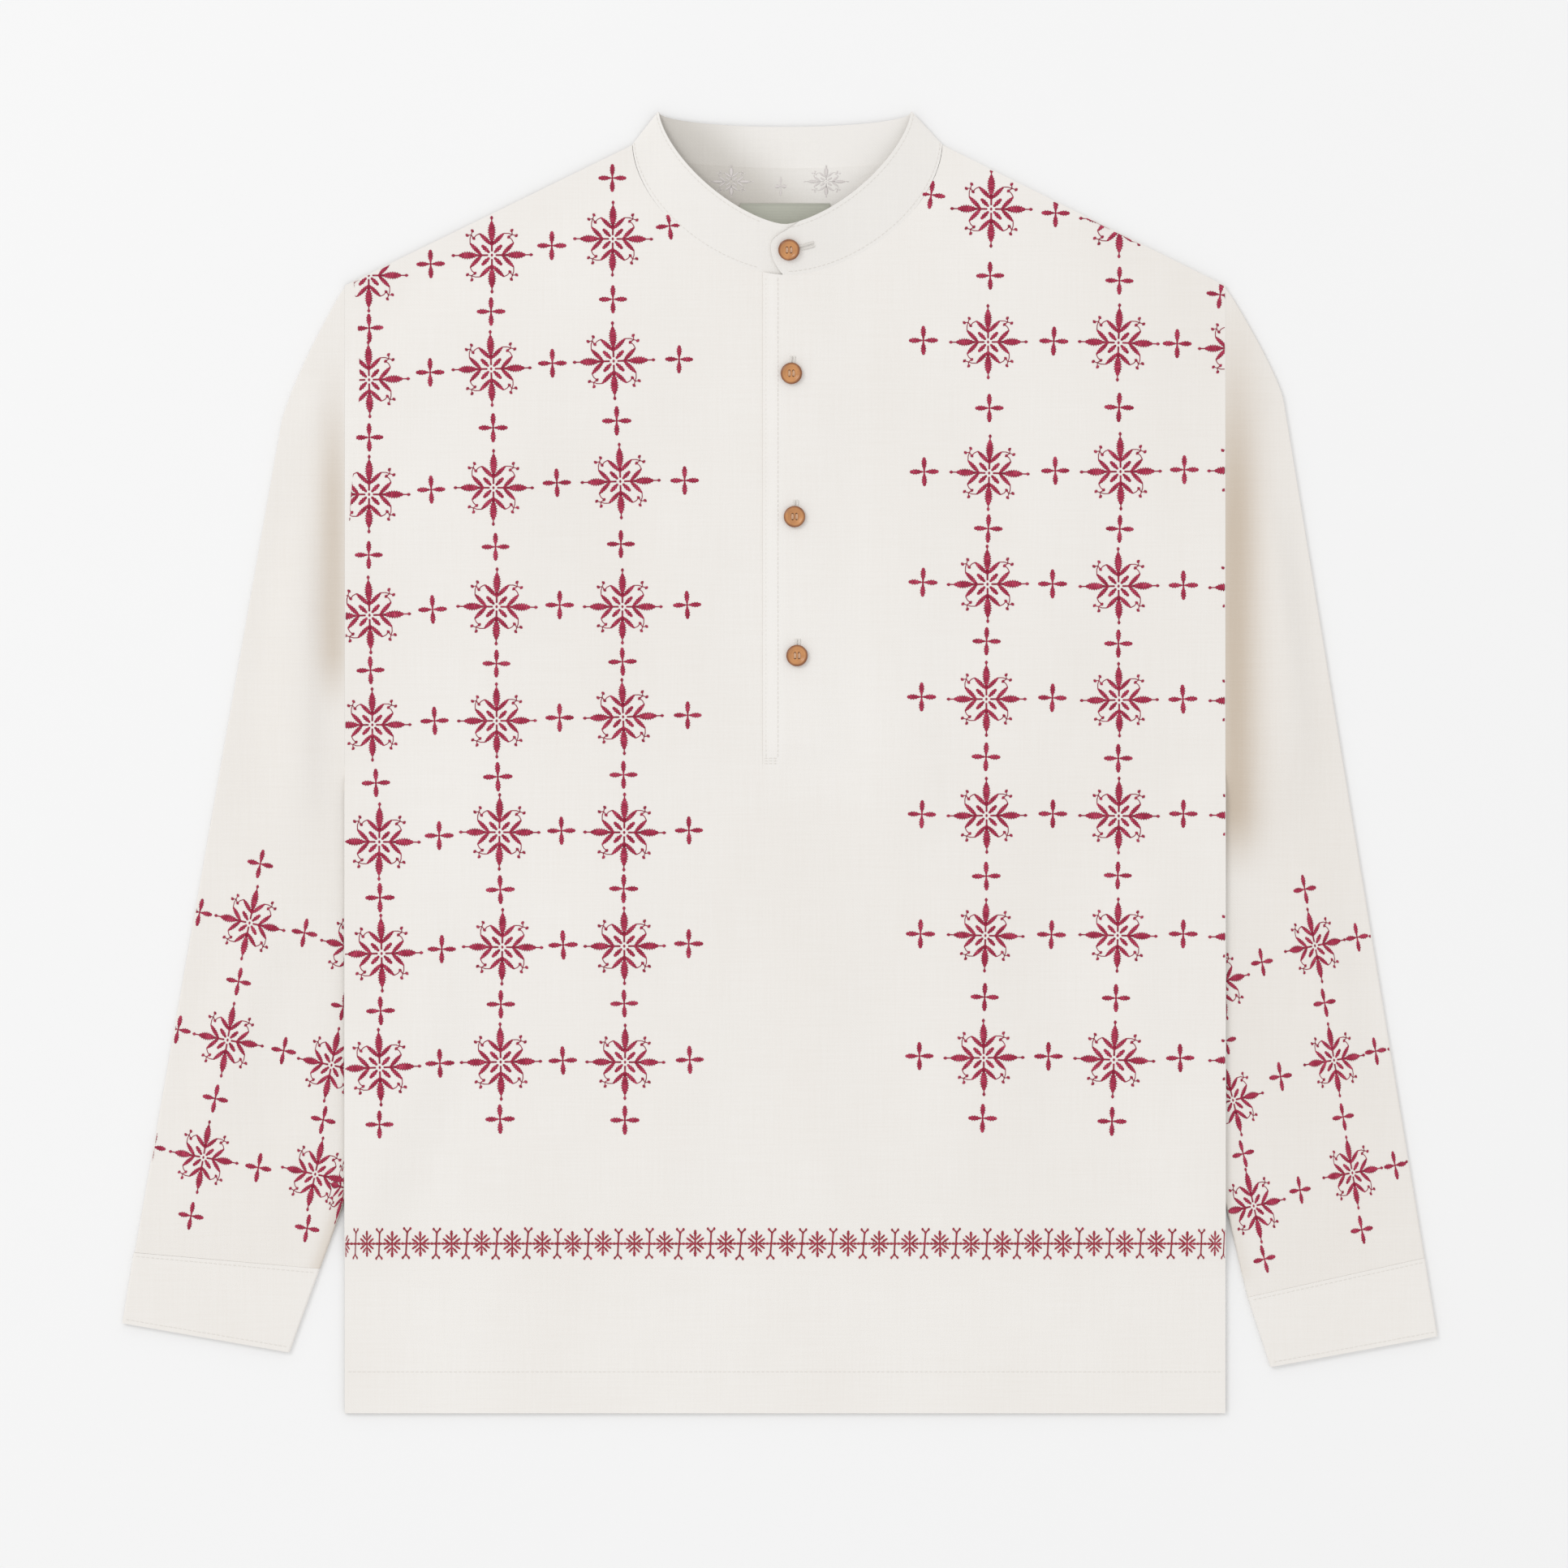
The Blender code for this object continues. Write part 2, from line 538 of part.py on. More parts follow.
def make_placket_under():
    """Strip sewn to the slit's left side, below the side that laps over."""
    x, neck_y = neckline(lap_angles()[::-1])
    x[0] = SLIT_X + SEAM / 2
    share = np.linspace(0.0, 1.0, STRIP_ROWS)[:, None]
    y = neck_y + (SLIT_END_Y + LAP_FADE_Y + STRIP_FOOT_SPACE - neck_y) * share
    x = np.repeat(x[None, :], STRIP_ROWS, axis=0)
    lower = np.stack([x, y, front_height(x, y)], axis=2).reshape(-1, 3)
    ids = np.arange(x.size).reshape(x.shape)
    return thick_sheet("placket_under", lower + (0, 0, WALL), lower, grid_faces(ids))


def make_label():
    """Bare neck label on the inside of the back."""
    x, y = np.meshgrid(np.linspace(LABEL_LEFT, LABEL_RIGHT, 4), np.linspace(LABEL_TOP_Y, LABEL_FOOT_Y, 3))
    lower = np.stack([x, y, np.full(x.shape, WALL + SEAM)], axis=2).reshape(-1, 3)
    ids = np.arange(x.size).reshape(x.shape)
    return thick_sheet("neck_label", lower + (0, 0, LABEL_WALL), lower, grid_faces(ids),
                       colour=LABEL_GREY, roughness=0.6)


def seat_on_front(x, y):
    """Point and normal of the lapped side's upper face."""
    def height(px, py):
        return float(front_height(np.array(px), np.array(py)) + lap(np.array(px), np.array(py))) + WALL
    step = BUTTON_SEAT_STEP
    slope_x = (height(x + step, y) - height(x - step, y)) / (2 * step)
    slope_y = (height(x, y + step) - height(x, y - step)) / (2 * step)
    normal = np.array([-slope_x, -slope_y, 1.0])
    return np.array([x, y, height(x, y)]), normal / np.linalg.norm(normal)


def seat_on_collar(x, up):
    """Point and normal of the collar's lapped end at x."""
    centre = NECK_CENTRE + (BAND_CENTRE - NECK_CENTRE) * up
    half = NECK_HALF + (BAND_HALF - NECK_HALF) * up
    angle = np.array(2 * math.pi + math.asin((centre - x) / half))
    inside = band_surface(angle, np.array(up), -WALL / 2)
    outside = band_surface(angle, np.array(up), WALL / 2)
    return outside, (outside - inside) / WALL


def make_button(name, seat, normal):
    """Domed button with a shallow dish, turned about the normal of the cloth below it."""
    across = np.cross([0.0, 1.0, 0.0], normal)
    across /= np.linalg.norm(across)
    ahead = np.cross(normal, across)
    turn = 2 * math.pi * np.arange(BUTTON_SEGMENTS) / BUTTON_SEGMENTS
    radial = np.cos(turn)[:, None] * across + np.sin(turn)[:, None] * ahead
    origin = seat + normal * BUTTON_LIFT
    rings = [origin + radius * MM * radial + height * MM * normal for radius, height in BUTTON_PROFILE]
    points = np.vstack([*rings, origin, origin + BUTTON_DISH_HEIGHT * normal])
    ids = np.arange(len(rings) * BUTTON_SEGMENTS).reshape(len(rings), BUTTON_SEGMENTS)
    around = np.concatenate([ids, ids[:, :1]], axis=1)[::-1]
    faces = grid_faces(around)
    bottom, top = len(points) - 2, len(points) - 1
    faces += [[int(b), int(a), bottom] for a, b in zip(around[-1][:-1], around[-1][1:])]
    faces += [[int(a), int(b), top] for a, b in zip(around[0][:-1], around[0][1:])]
    return add_object(name, points, faces, colour=HORN, roughness=0.3)


def make_buttons():
    """One button on the collar's end and three down the placket."""
    seats = [seat_on_collar(BUTTON_CENTRES[0][0], BUTTON_ON_BAND)]
    seats += [seat_on_front(x, y) for x, y in BUTTON_CENTRES[1:]]
    for number, (seat, normal) in enumerate(seats, start=1):
        make_button("button_%d" % number, seat, normal)


def clear_scene():
    """Start from an empty file."""
    for thing in list(bpy.data.objects):
        bpy.data.objects.remove(thing, do_unlink=True)


def main():
    """Build every piece of the shirt."""
    clear_scene()
    make_front()
    make_back()
    for key in SLEEVES:
        make_sleeve(key)
        make_cuff(key)
    make_collar()
    make_placket_under()
    make_label()
    make_buttons()


main()
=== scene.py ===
"""Linen popover shirt laid flat: cloth, embroidery, stitching, buttons and the stage.

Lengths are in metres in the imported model's own frame: x runs across the shirt, y from the hem to
the collar and z up from the surface. Left and right are those of someone who looks at the shirt.
"""

import math

import bpy
import numpy as np
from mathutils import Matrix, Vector


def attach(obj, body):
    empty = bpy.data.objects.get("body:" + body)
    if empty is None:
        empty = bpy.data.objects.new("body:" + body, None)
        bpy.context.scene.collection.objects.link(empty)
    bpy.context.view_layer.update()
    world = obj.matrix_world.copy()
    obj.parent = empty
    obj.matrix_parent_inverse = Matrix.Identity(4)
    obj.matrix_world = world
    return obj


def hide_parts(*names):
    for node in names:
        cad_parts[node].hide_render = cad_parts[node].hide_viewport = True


bl_info = {
    "name": "Linen shirt",
    "version": (1, 0, 0),
    "blender": (4, 5, 0),
    "location": "3D View > Sidebar > Shirt",
    "description": "Builds a linen shirt laid flat, with its embroidery, stitching and buttons",
    "category": "Add Mesh",
}

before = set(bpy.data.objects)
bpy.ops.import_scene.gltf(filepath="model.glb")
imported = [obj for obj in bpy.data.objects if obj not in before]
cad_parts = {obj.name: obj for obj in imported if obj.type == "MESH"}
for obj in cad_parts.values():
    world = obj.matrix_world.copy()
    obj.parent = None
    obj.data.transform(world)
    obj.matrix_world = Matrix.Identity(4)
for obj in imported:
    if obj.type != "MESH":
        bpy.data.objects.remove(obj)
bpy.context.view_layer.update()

MM = 0.001

# Walls and the space between pieces, as in the solids
WALL = 1.2 * MM
SEAM = 0.3 * MM
MIDDLE = WALL + SEAM / 2

# Wall of the visible cloth and the space between two of its pieces at a seam
CLOTH = 0.9 * MM
CLOTH_SPACE = 0.04 * MM

# Body panels
BODY_LEFT = -262.6 * MM
BODY_RIGHT = 268.8 * MM
HEM_Y = -392.7 * MM
SHOULDER_Y = 287.7 * MM
UNDERARM_Y = 0.0

# Neckline, a superellipse in front and a flat arc at the back
NECK_CENTRE = 4.5 * MM
NECK_HALF = 93.2 * MM
NECK_TOP_Y = 372.5 * MM
NECK_FRONT_DROP = 78.7 * MM
NECK_BACK_DROP = 14.0 * MM
NECK_POWER = 1.74
NECK_TIP_SPACE = 0.35 * MM
NECK_TIP_POWER = 6
NECK_SLOPE_STEP = 0.01
NECK_RISE = 3.5 * MM
NECK_RISE_LENGTH = 145.0 * MM
NECK_RISE_FADE = 70.0 * MM
NECK_COLUMNS = 30
NECK_BACK_COLUMNS = 41
BACK_STEP_SHARE = 1.4

# Band collar
BAND_CENTRE = 3.0 * MM
BAND_HALF = 76.0 * MM
BAND_TOP_Y = 392.3 * MM
BAND_FRONT_DROP = 68.4 * MM
BAND_BACK_DROP = 8.8 * MM
BAND_POWER = 1.5
BAND_FRONT_STAND = 7.0 * MM
BAND_BACK_STAND = 1.6 * MM
BAND_FOLD_OPENING = 0.5 * MM
BAND_UNDER_END_X = 15.0 * MM
BAND_OVER_END_X = -5.4 * MM
BAND_END_TOP_CUT = 17.2 * MM
BAND_END_FOOT_CUT = 7.4 * MM
BAND_END_TOP_POWER = 2.2
BAND_END_FOOT_POWER = 2
BAND_FOLD_DEPTH = 0.3
BAND_OPENING_DEPTH = 0.35
BAND_SIDE_STAND = 0.35
BAND_SLOPE_STEP = 0.004
BAND_ROWS = 14
BAND_LAPPED_FROM = math.radians(330.0)
BAND_INSIDE_DEPTH = -0.02
# Painted light that lightens the inside of the collar's back
BAND_INSIDE_PAINTED_LIGHT = -0.10
COLLAR_CUT = 30.0 * MM

# Placket
SLIT_X = -10.4 * MM
SLIT_END_Y = -5.0 * MM
LAP_RISE = 1.8 * MM
LAP_EDGE_SHARE = 0.42
LAP_EDGE_RUN = 8.0 * MM
LAP_FLAT_X = 18.0 * MM
LAP_FADE_X = 50.0 * MM
LAP_FADE_Y = 18.0 * MM
STRIP_OUTER_X = 17.0 * MM
STRIP_FOOT_SPACE = 3.0 * MM
STRIP_GRID = (60, 9)

# Sleeves, one row for each side: edges, folds and shade. The folds are written as those of the
# front, with x counted outwards from the body's side. The shade is in millimetres: middle and half
# width of the valley beside the body, its depth, where it sets in at the top and at the foot with
# the run of each, and the depth along the inner edge above the cuff.
SLEEVES = {
    "left": dict(
        side=-1.0, body_x=BODY_LEFT, corner=(300.9 * MM, 205.0 * MM), slope=0.1767,
        shoulder_in=23.6 * MM, round_power=1.4, leave_y=-265.0 * MM,
        seam_outer=(390.0 * MM, -295.7 * MM), seam_inner=(277.6 * MM, -305.5 * MM),
        end_outer=(396.9 * MM, -338.3 * MM), end_inner=(296.0 * MM, -356.0 * MM),
        folds=[(26, 175, 30, -70, 17, 5.5), (40, -60, 84, -240, 18, 2.6), (22, 240, 30, 190, 14, 1.6),
               (58, -120, 110, -300, 9, 0.7), (12, -190, 60, -310, 8, 0.6)],
        shade=dict(plain=0.05, out=7.0, width=9.5, depth=0.60, top=(260.0, -110.0),
                   foot=(25.0, 45.0), edge=0.45)),
    "right": dict(
        side=1.0, body_x=BODY_RIGHT, corner=(303.7 * MM, 220.3 * MM), slope=0.1645,
        shoulder_in=23.8 * MM, round_power=1.3, leave_y=-267.0 * MM,
        seam_outer=(389.2 * MM, -298.9 * MM), seam_inner=(282.2 * MM, -322.7 * MM),
        end_outer=(396.9 * MM, -346.2 * MM), end_inner=(296.0 * MM, -364.8 * MM),
        folds=[(32, 200, 36, -60, 19, 6.5), (44, -50, 80, -225, 18, 2.8), (20, 250, 28, 205, 13, 1.6),
               (60, -130, 108, -300, 9, 0.7), (14, -200, 50, -320, 8, 0.6)],
        shade=dict(plain=0.07, out=6.0, width=15.0, depth=0.87, top=(300.0, -160.0),
                   foot=(-75.0, 50.0), edge=0.20)),
}
EDGE_SHADE_WIDTH = 6.0
EDGE_SHADE_TOP = (-240.0, -25.0)
EDGE_SHADE_FOOT = (-318.0, 12.0)
SLEEVE_SPREAD_POWER = 1.25
SLEEVE_HEAD_DROP = 1.0 * MM
CUFF_FULL = 0.25 * MM
SLEEVE_GRID = (110, 44)
CUFF_GRID = (16, 36)

# Tuck of the sleeves under the body's sides, and how the sides lie over them
TUCK_REACH = 36.0 * MM
TUCK_MARGIN = 10.0 * MM
TUCK_FADE = 36.0 * MM
TUCK_LIFT = 3.4 * MM
TUCK_LIFT_RUN = 22.0 * MM
TUCK_LIFT_FOOT = 45.0 * MM
TUCK_LIFT_FOOT_LEVEL = 4.0 * MM

# Folds as x and y of both ends, half width and height, in millimetres. The first group of the
# front and the first three of a sleeve are in the solids too.
FRONT_FOLDS = [
    (-150, 250, -165, 20, 26, 2.2), (-196, 40, -186, -230, 30, 1.8), (-118, 120, -100, -190, 28, 2.4),
    (-60, 210, -48, -40, 24, 1.6), (-50, -110, -72, -340, 30, 2.0), (66, 190, 78, -120, 28, 2.2),
    (118, -30, 98, -320, 32, 2.0), (150, 240, 168, -30, 28, 2.4), (212, 70, 204, -240, 26, 2.0),
    (20, -60, 34, -320, 26, 1.4),
]
FRONT_CREASES = [
    (-205, 215, -232, 90, 9, 0.5), (-130, 35, -118, -70, 8, 0.35), (-216, -20, -206, -130, 9, 0.4),
    (-84, 20, -96, -110, 8, 0.35), (-142, -200, -128, -290, 10, 0.4), (90, 265, 108, 150, 9, 0.45),
    (178, 160, 190, 60, 9, 0.4), (84, 60, 92, -60, 8, 0.35), (226, 20, 218, -110, 9, 0.4),
    (150, -150, 140, -270, 10, 0.4), (-20, -120, -12, -240, 9, 0.3), (60, -210, 74, -330, 10, 0.35),
]
FOLD_END_SHARE = 0.35
EDGE_FADE = 46.0 * MM
SLEEVE_EDGE_FADE = 24.0 * MM
SLEEVE_CUFF_FADE = 40.0 * MM

# Parts of the front that look lighter (below 0) or darker: the facing beside the slit, its sewn
# strip, the right side, whose darkening is painted shade, and the hem. Each has the places in
# millimetres where it sets in or ends across and along, with the run of each. A bell of painted
# light stands on the left side.
BODY_TONES = [
    dict(amount=-0.025, across=[(-10.4, 3.0), (58.0, -6.0)], along=[(-27.0, 5.0)]),
    dict(amount=-0.045, across=[(-9.0, 2.0), (1.5, -3.0)], along=[(-4.0, 8.0)]),
    dict(amount=0.03, across=[(160.0, 80.0)], along=[(-200.0, 180.0)]),
    dict(amount=-0.02, across=[], along=[(-300.0, -30.0)]),
]
PAINTED_LIGHT_BELL = dict(amount=-0.03, middle=-205.0, width=34.0)

# Shade inside the neck: the line along the collar's left front edge, its depth and reach
NECK_SHADE_LINE = ((-72.6 * MM, 392.5 * MM), (2.9 * MM, 324.1 * MM))
NECK_SHADE = 0.85
NECK_SHADE_REACH = 20.0 * MM

# Neck label
LABEL_LEFT = -24.0 * MM
LABEL_RIGHT = 30.1 * MM
LABEL_TOP_Y = 337.4 * MM
LABEL_FOOT_Y = 300.0 * MM
LABEL_CLOTH = 0.6 * MM
LABEL_CURL = 0.25 * MM
LABEL_CURL_REACH = 10.0 * MM
LABEL_RIM = 1.7 * MM
LABEL_GRID = (24, 40)

# Buttons, as centre and the way that the buttonhole runs from it
BUTTONS = [
    dict(name="button_1", centre=(5.4 * MM, 310.0 * MM), hole=(15.0 * MM, 4.0 * MM)),
    dict(name="button_2", centre=(6.9 * MM, 234.5 * MM), hole=(1.0 * MM, 10.2 * MM)),
    dict(name="button_3", centre=(8.8 * MM, 148.2 * MM), hole=(1.0 * MM, 9.8 * MM)),
    dict(name="button_4", centre=(10.3 * MM, 64.4 * MM), hole=(0.6 * MM, 9.8 * MM)),
]

# Columns of the embroidered grid on both sides of the placket, each from the placket outwards:
# whether a cross stands above the first star, and where the stars stand in millimetres
STAR_COLUMNS = [
    dict(side="left", crown=True, stars=[
        (-100.9, 315.8), (-100.0, 242.3), (-96.5, 169.3), (-95.1, 93.8), (-94.6, 27.2),
        (-94.1, -41.9), (-94.1, -110.5), (-93.6, -180.6)]),
    dict(side="left", crown=False, stars=[
        (-174.0, 306.0), (-174.0, 237.4), (-172.5, 165.9), (-171.0, 93.8), (-171.0, 25.2),
        (-169.5, -42.4), (-167.6, -111.5), (-168.6, -180.6)]),
    dict(side="left", crown=False, stars=[
        (-247.9, 293.7), (-247.9, 231.0), (-247.9, 161.5), (-247.9, 88.9), (-246.0, 22.8),
        (-241.6, -47.8), (-240.1, -115.4), (-241.1, -184.0)]),
    dict(side="right", crown=False, stars=[
        (127.4, 333.6), (125.7, 253.2), (126.3, 174.6), (125.0, 107.6), (124.5, 38.5),
        (124.5, -32.1), (124.0, -104.6), (123.0, -178.1)]),
    dict(side="right", crown=False, stars=[
        (205.3, 327.8), (204.3, 253.2), (205.3, 175.6), (204.3, 106.1), (204.3, 37.5),
        (204.3, -32.1), (203.8, -104.6), (201.4, -179.1)]),
    dict(side="right", crown=False, stars=[
        (275.4, 249.9), (282.2, 176.2), (282.2, 106.1), (282.4, 37.5), (282.4, -32.1),
        (282.4, -104.6), (281.5, -179.1)]),
]
# Crosses that the cloth's bend at the neck and at the shoulder sets apart from the grid
BENT_CROSSES = {"left": [(-66.8, 323.7)], "right": [(91.4, 342.4), (265.6, 282.5)]}
BENT_TURN = {"left": 8.0, "right": -8.0}
CROSS_BESIDE = {"left": 39.0, "right": -39.0}
CROSS_RISE = 1.0
# Columns on the sleeves: stars, the way to the level crosses on their outer and inner side, the
# grid's turn, and how much narrower the motifs are where the sleeve turns away
SLEEVE_COLUMNS = [
    dict(side="left", stars=[(-319.8, -96.8), (-332.8, -167.4), (-347.8, -238.0)],
         level=[(-30.4, 6.4), (33.2, -6.2)], above=True, turn=-11.0, narrow=0.90),
    dict(side="left", stars=[(-256.3, -112.0), (-270.7, -182.6), (-280.5, -248.3)],
         level=[], above=False, turn=-11.0, narrow=0.88),
    dict(side="left", stars=[(-262.2, -256.5)], level=[], above=False, turn=-16.0, narrow=0.45),
    dict(side="right", stars=[(322.4, -110.6), (334.0, -179.3), (345.3, -247.9)],
         level=[(25.5, 5.0), (-31.8, -10.0)], above=True, turn=10.0, narrow=0.78),
    dict(side="right", stars=[(264.4, -132.5), (273.1, -203.9), (286.0, -267.7)],
         level=[], above=False, turn=14.0, narrow=0.80),
    dict(side="right", stars=[(373.4, -101.8), (384.8, -170.0), (395.7, -237.4)],
         level=[], above=False, turn=10.0, narrow=0.78),
]
BORDER_Y = -290.3 * MM
STAR_REACH = 24.0 * MM
CROSS_REACH = 8.4 * MM


def smooth(t):
    """Zero below 0, one above 1 and an S curve between."""
    t = np.clip(t, 0.0, 1.0)
    return t * t * (3.0 - 2.0 * t)


def rise(value, start, run):
    """Zero up to the start and one from its run on, or the other way round for a run below 0."""
    return smooth((value - start) / run)


def round_neck(angle, centre, half, top_y, front_drop, back_drop, power):
    """Closed curve round the neck: a superellipse in front and a flat arc at the back.

    Angle 0 is the front middle, pi the back middle and pi/2 the tip on the left.
    """
    across = np.sin(angle)
    front = front_drop * np.clip(1.0 - abs(across) ** power, 0, 1) ** (1.0 / power)
    drop = np.where(np.cos(angle) > 0, front, back_drop * abs(np.cos(angle)))
    return centre - half * across, top_y - drop


def neck_curve(angle):
    """Seam of collar and body."""
    return round_neck(
        angle, NECK_CENTRE, NECK_HALF, NECK_TOP_Y, NECK_FRONT_DROP, NECK_BACK_DROP, NECK_POWER)


def band_curve(angle):
    """Free edge of the collar, with the same angle as the seam."""
    return round_neck(
        angle, BAND_CENTRE, BAND_HALF, BAND_TOP_Y, BAND_FRONT_DROP, BAND_BACK_DROP, BAND_POWER)


def neckline(angle):
    """Panel edge beside the collar: the seam moved outwards by the space between pieces."""
    x0, y0 = neck_curve(angle - NECK_SLOPE_STEP)
    x1, y1 = neck_curve(angle + NECK_SLOPE_STEP)
    x, y = neck_curve(angle)
    out = CLOTH_SPACE + NECK_TIP_SPACE * abs(np.sin(angle)) ** NECK_TIP_POWER
    out = out / np.hypot(x1 - x0, y1 - y0)
    return x - np.sign(np.sin(angle)) * abs(y1 - y0) * out, y - abs(x1 - x0) * out


def neck_angle_at(x):
    """Angle of the front seam's point at x near the front middle."""
    return math.asin((NECK_CENTRE - x) / NECK_HALF)


def sleeve_outer_x(sleeve, y):
    """Outer edge of a sleeve: a straight line up to a soft corner, then in to the shoulder point."""
    corner_x, corner_y = sleeve["corner"]
    straight = corner_x + (corner_y - y) * sleeve["slope"]
    above = np.clip((y - corner_y) / (SHOULDER_Y - corner_y), 0, 1)
    return sleeve["side"] * (straight - sleeve["shoulder_in"] * above ** sleeve["round_power"])


def tuck_reach(sleeve, y):
    """How far the sleeve's inner edge lies inside the body's side: half a sine wave, slow to start."""
    run = np.clip((UNDERARM_Y - y) / (UNDERARM_Y - sleeve["leave_y"]), 0, 1)
    wave = np.sin(math.pi * run)
    return TUCK_REACH * np.where(run < 0.5, wave ** 2, wave)


def sleeve_inner_x(sleeve, y):
    """Inner edge of a sleeve: beside the body, then under it, then out to the cuff."""
    foot_x, foot_y = sleeve["seam_inner"]
    edge = abs(sleeve["body_x"])
    below = np.clip((sleeve["leave_y"] - y) / (sleeve["leave_y"] - foot_y), 0, 1)
    out = edge + CLOTH_SPACE + (foot_x - edge - CLOTH_SPACE) * below
    return sleeve["side"] * (out - tuck_reach(sleeve, y))


def tuck_lift(x, y):
    """Height by which the sleeves raise the body's sides."""
    total = np.zeros(np.shape(x))
    for sleeve in SLEEVES.values():
        inside = sleeve["side"] * (sleeve["body_x"] - x)
        cover = rise(inside, tuck_reach(sleeve, y) + TUCK_MARGIN + TUCK_FADE, -TUCK_FADE)
        head = rise(y, UNDERARM_Y, -TUCK_LIFT_RUN)
        foot = rise(y, sleeve["leave_y"] - TUCK_LIFT_FOOT, TUCK_LIFT_FOOT - TUCK_LIFT_FOOT_LEVEL)
        total = total + TUCK_LIFT * cover * head * foot
    return total


def fold(x, y, x0, y0, x1, y1, width, height):
    """A soft ridge between two ends: a bell across and a fade at both ends."""
    length = math.hypot(x1 - x0, y1 - y0)
    along_x, along_y = (x1 - x0) / length, (y1 - y0) / length
    x, y = x / MM - x0, y / MM - y0
    along = (x * along_x + y * along_y) / length
    across = x * along_y - y * along_x
    ends = rise(along, 0.0, FOLD_END_SHARE) * rise(along, 1.0, -FOLD_END_SHARE)
    return height * MM * np.exp(-(across / width) ** 2) * ends


def shoulder_y(x):
    """Height of the shoulder line over x, level across the neck."""
    left_x, left_y = neckline(np.array(math.pi / 2))
    right_x, right_y = neckline(np.array(-math.pi / 2))
    from_left = np.clip((x - BODY_LEFT) / (left_x - BODY_LEFT), 0, 1)
    from_right = np.clip((BODY_RIGHT - x) / (BODY_RIGHT - right_x), 0, 1)
    return SHOULDER_Y + np.minimum((left_y - SHOULDER_Y) * from_left, (right_y - SHOULDER_Y) * from_right)


def front_height(x, y):
    """Underside of the front panel: wall and space over the back, lift, folds and neck rise."""
    below_shoulder = shoulder_y(x) - y
    edges = rise(x, BODY_LEFT, EDGE_FADE) * rise(x, BODY_RIGHT, -EDGE_FADE)
    edges = edges * rise(y, HEM_Y, EDGE_FADE) * rise(below_shoulder, 0.0, EDGE_FADE)
    relief = sum(fold(x, y, *row) for row in FRONT_FOLDS + FRONT_CREASES)
    neck = NECK_RISE * rise(below_shoulder, 0.0, NECK_RISE_FADE)
    neck = neck * rise(y, NECK_TOP_Y - NECK_FRONT_DROP - NECK_RISE_LENGTH, NECK_RISE_LENGTH)
    return WALL + SEAM + tuck_lift(x, y) + relief * edges + neck * edges


def lap(x, y):
    """Extra height of the side of the front that laps over the placket strip, less at its edge."""
    edge = LAP_EDGE_SHARE + (1.0 - LAP_EDGE_SHARE) * rise(x, SLIT_X, LAP_EDGE_RUN)
    across = rise(x, LAP_FADE_X, LAP_FLAT_X - LAP_FADE_X)
    return LAP_RISE * edge * across * rise(y, SLIT_END_Y, LAP_FADE_Y)


def front_top(x, y):
    """Upper face of the front panel on either side of the slit."""
    return front_height(x, y) + np.where(x > SLIT_X, lap(x, y), 0.0) + WALL


def sleeve_relief(sleeve, x, y):
    """Folds on a sleeve's upper side, gone at its edges and under the body."""
    out = sleeve["side"] * (x - sleeve["body_x"])
    to_edge = sleeve["side"] * (sleeve_outer_x(sleeve, y) - x)
    fade = rise(out, 0.0, SLEEVE_EDGE_FADE) * rise(to_edge, 0.0, SLEEVE_EDGE_FADE)
    fade = fade * rise(y, sleeve["seam_outer"][1], SLEEVE_CUFF_FADE)
    return fade * sum(fold(out, y, *row) for row in sleeve["folds"])


def sleeve_top(sleeve, x, y):
    """Upper face of a flattened sleeve."""
    return 2 * MIDDLE + sleeve_relief(sleeve, x, y)


# Property groups

def colour_setting(name, description, default):
    """A colour in the panel."""
    return bpy.props.FloatVectorProperty(
        name=name, description=description, subtype="COLOR", size=3, min=0, max=1, default=default)


def length_setting(name, description, default, low, high):
    """A length in the panel, with its limits."""
    return bpy.props.FloatProperty(
        name=name, description=description, unit="LENGTH", default=default, min=low, max=high)


class ShirtClothSettings(bpy.types.PropertyGroup):
    """Linen, thread and label."""
    linen: colour_setting("Linen", "Colour of the linen", (0.845, 0.821, 0.789))
    linen_shade: colour_setting("Linen shade", "Colour of the linen where it lies in shade",
                                (0.585, 0.500, 0.410))
    neck_shade: colour_setting("Neck shade", "Colour of the linen in shade inside the neck",
                               (0.570, 0.540, 0.495))
    label: colour_setting("Label", "Colour of the neck label", (0.505, 0.512, 0.435))
    show_through: colour_setting("Show-through", "Colour of the back's motifs seen through the linen",
                                 (0.735, 0.688, 0.670))
    yarn: length_setting("Yarn pitch", "Distance from one yarn to the next", 0.85 * MM, 0.3 * MM, 3 * MM)
    body_step: length_setting("Mesh step", "Size of the cloth's mesh faces", 4.4 * MM, 2 * MM, 20 * MM)


class ShirtEmbroiderySettings(bpy.types.PropertyGroup):
    """Satin stitch motifs."""
    thread: colour_setting("Thread", "Colour of the embroidery thread", (0.430, 0.030, 0.078))
    # Painted shade between the stitches and a painted highlight on their crests
    thread_painted_shade: colour_setting("Thread dark", "Colour between two stitches", (0.190, 0.008, 0.028))
    thread_painted_highlight: colour_setting("Thread light", "Colour on a stitch's crest", (0.620, 0.105, 0.180))
    border_thread: colour_setting("Border thread", "Colour of the hem border's thinner thread",
                                  (0.400, 0.040, 0.062))
    height: length_setting("Height", "Height of the satin stitches over the cloth",
                           0.45 * MM, 0.05 * MM, 2 * MM)
    star_reach: length_setting("Star reach", "From a star's middle to the end of its arm",
                               STAR_REACH, 5 * MM, 60 * MM)
    cross_reach: length_setting("Cross reach", "From a cross's middle to the end of its arm",
                                CROSS_REACH, 2 * MM, 30 * MM)


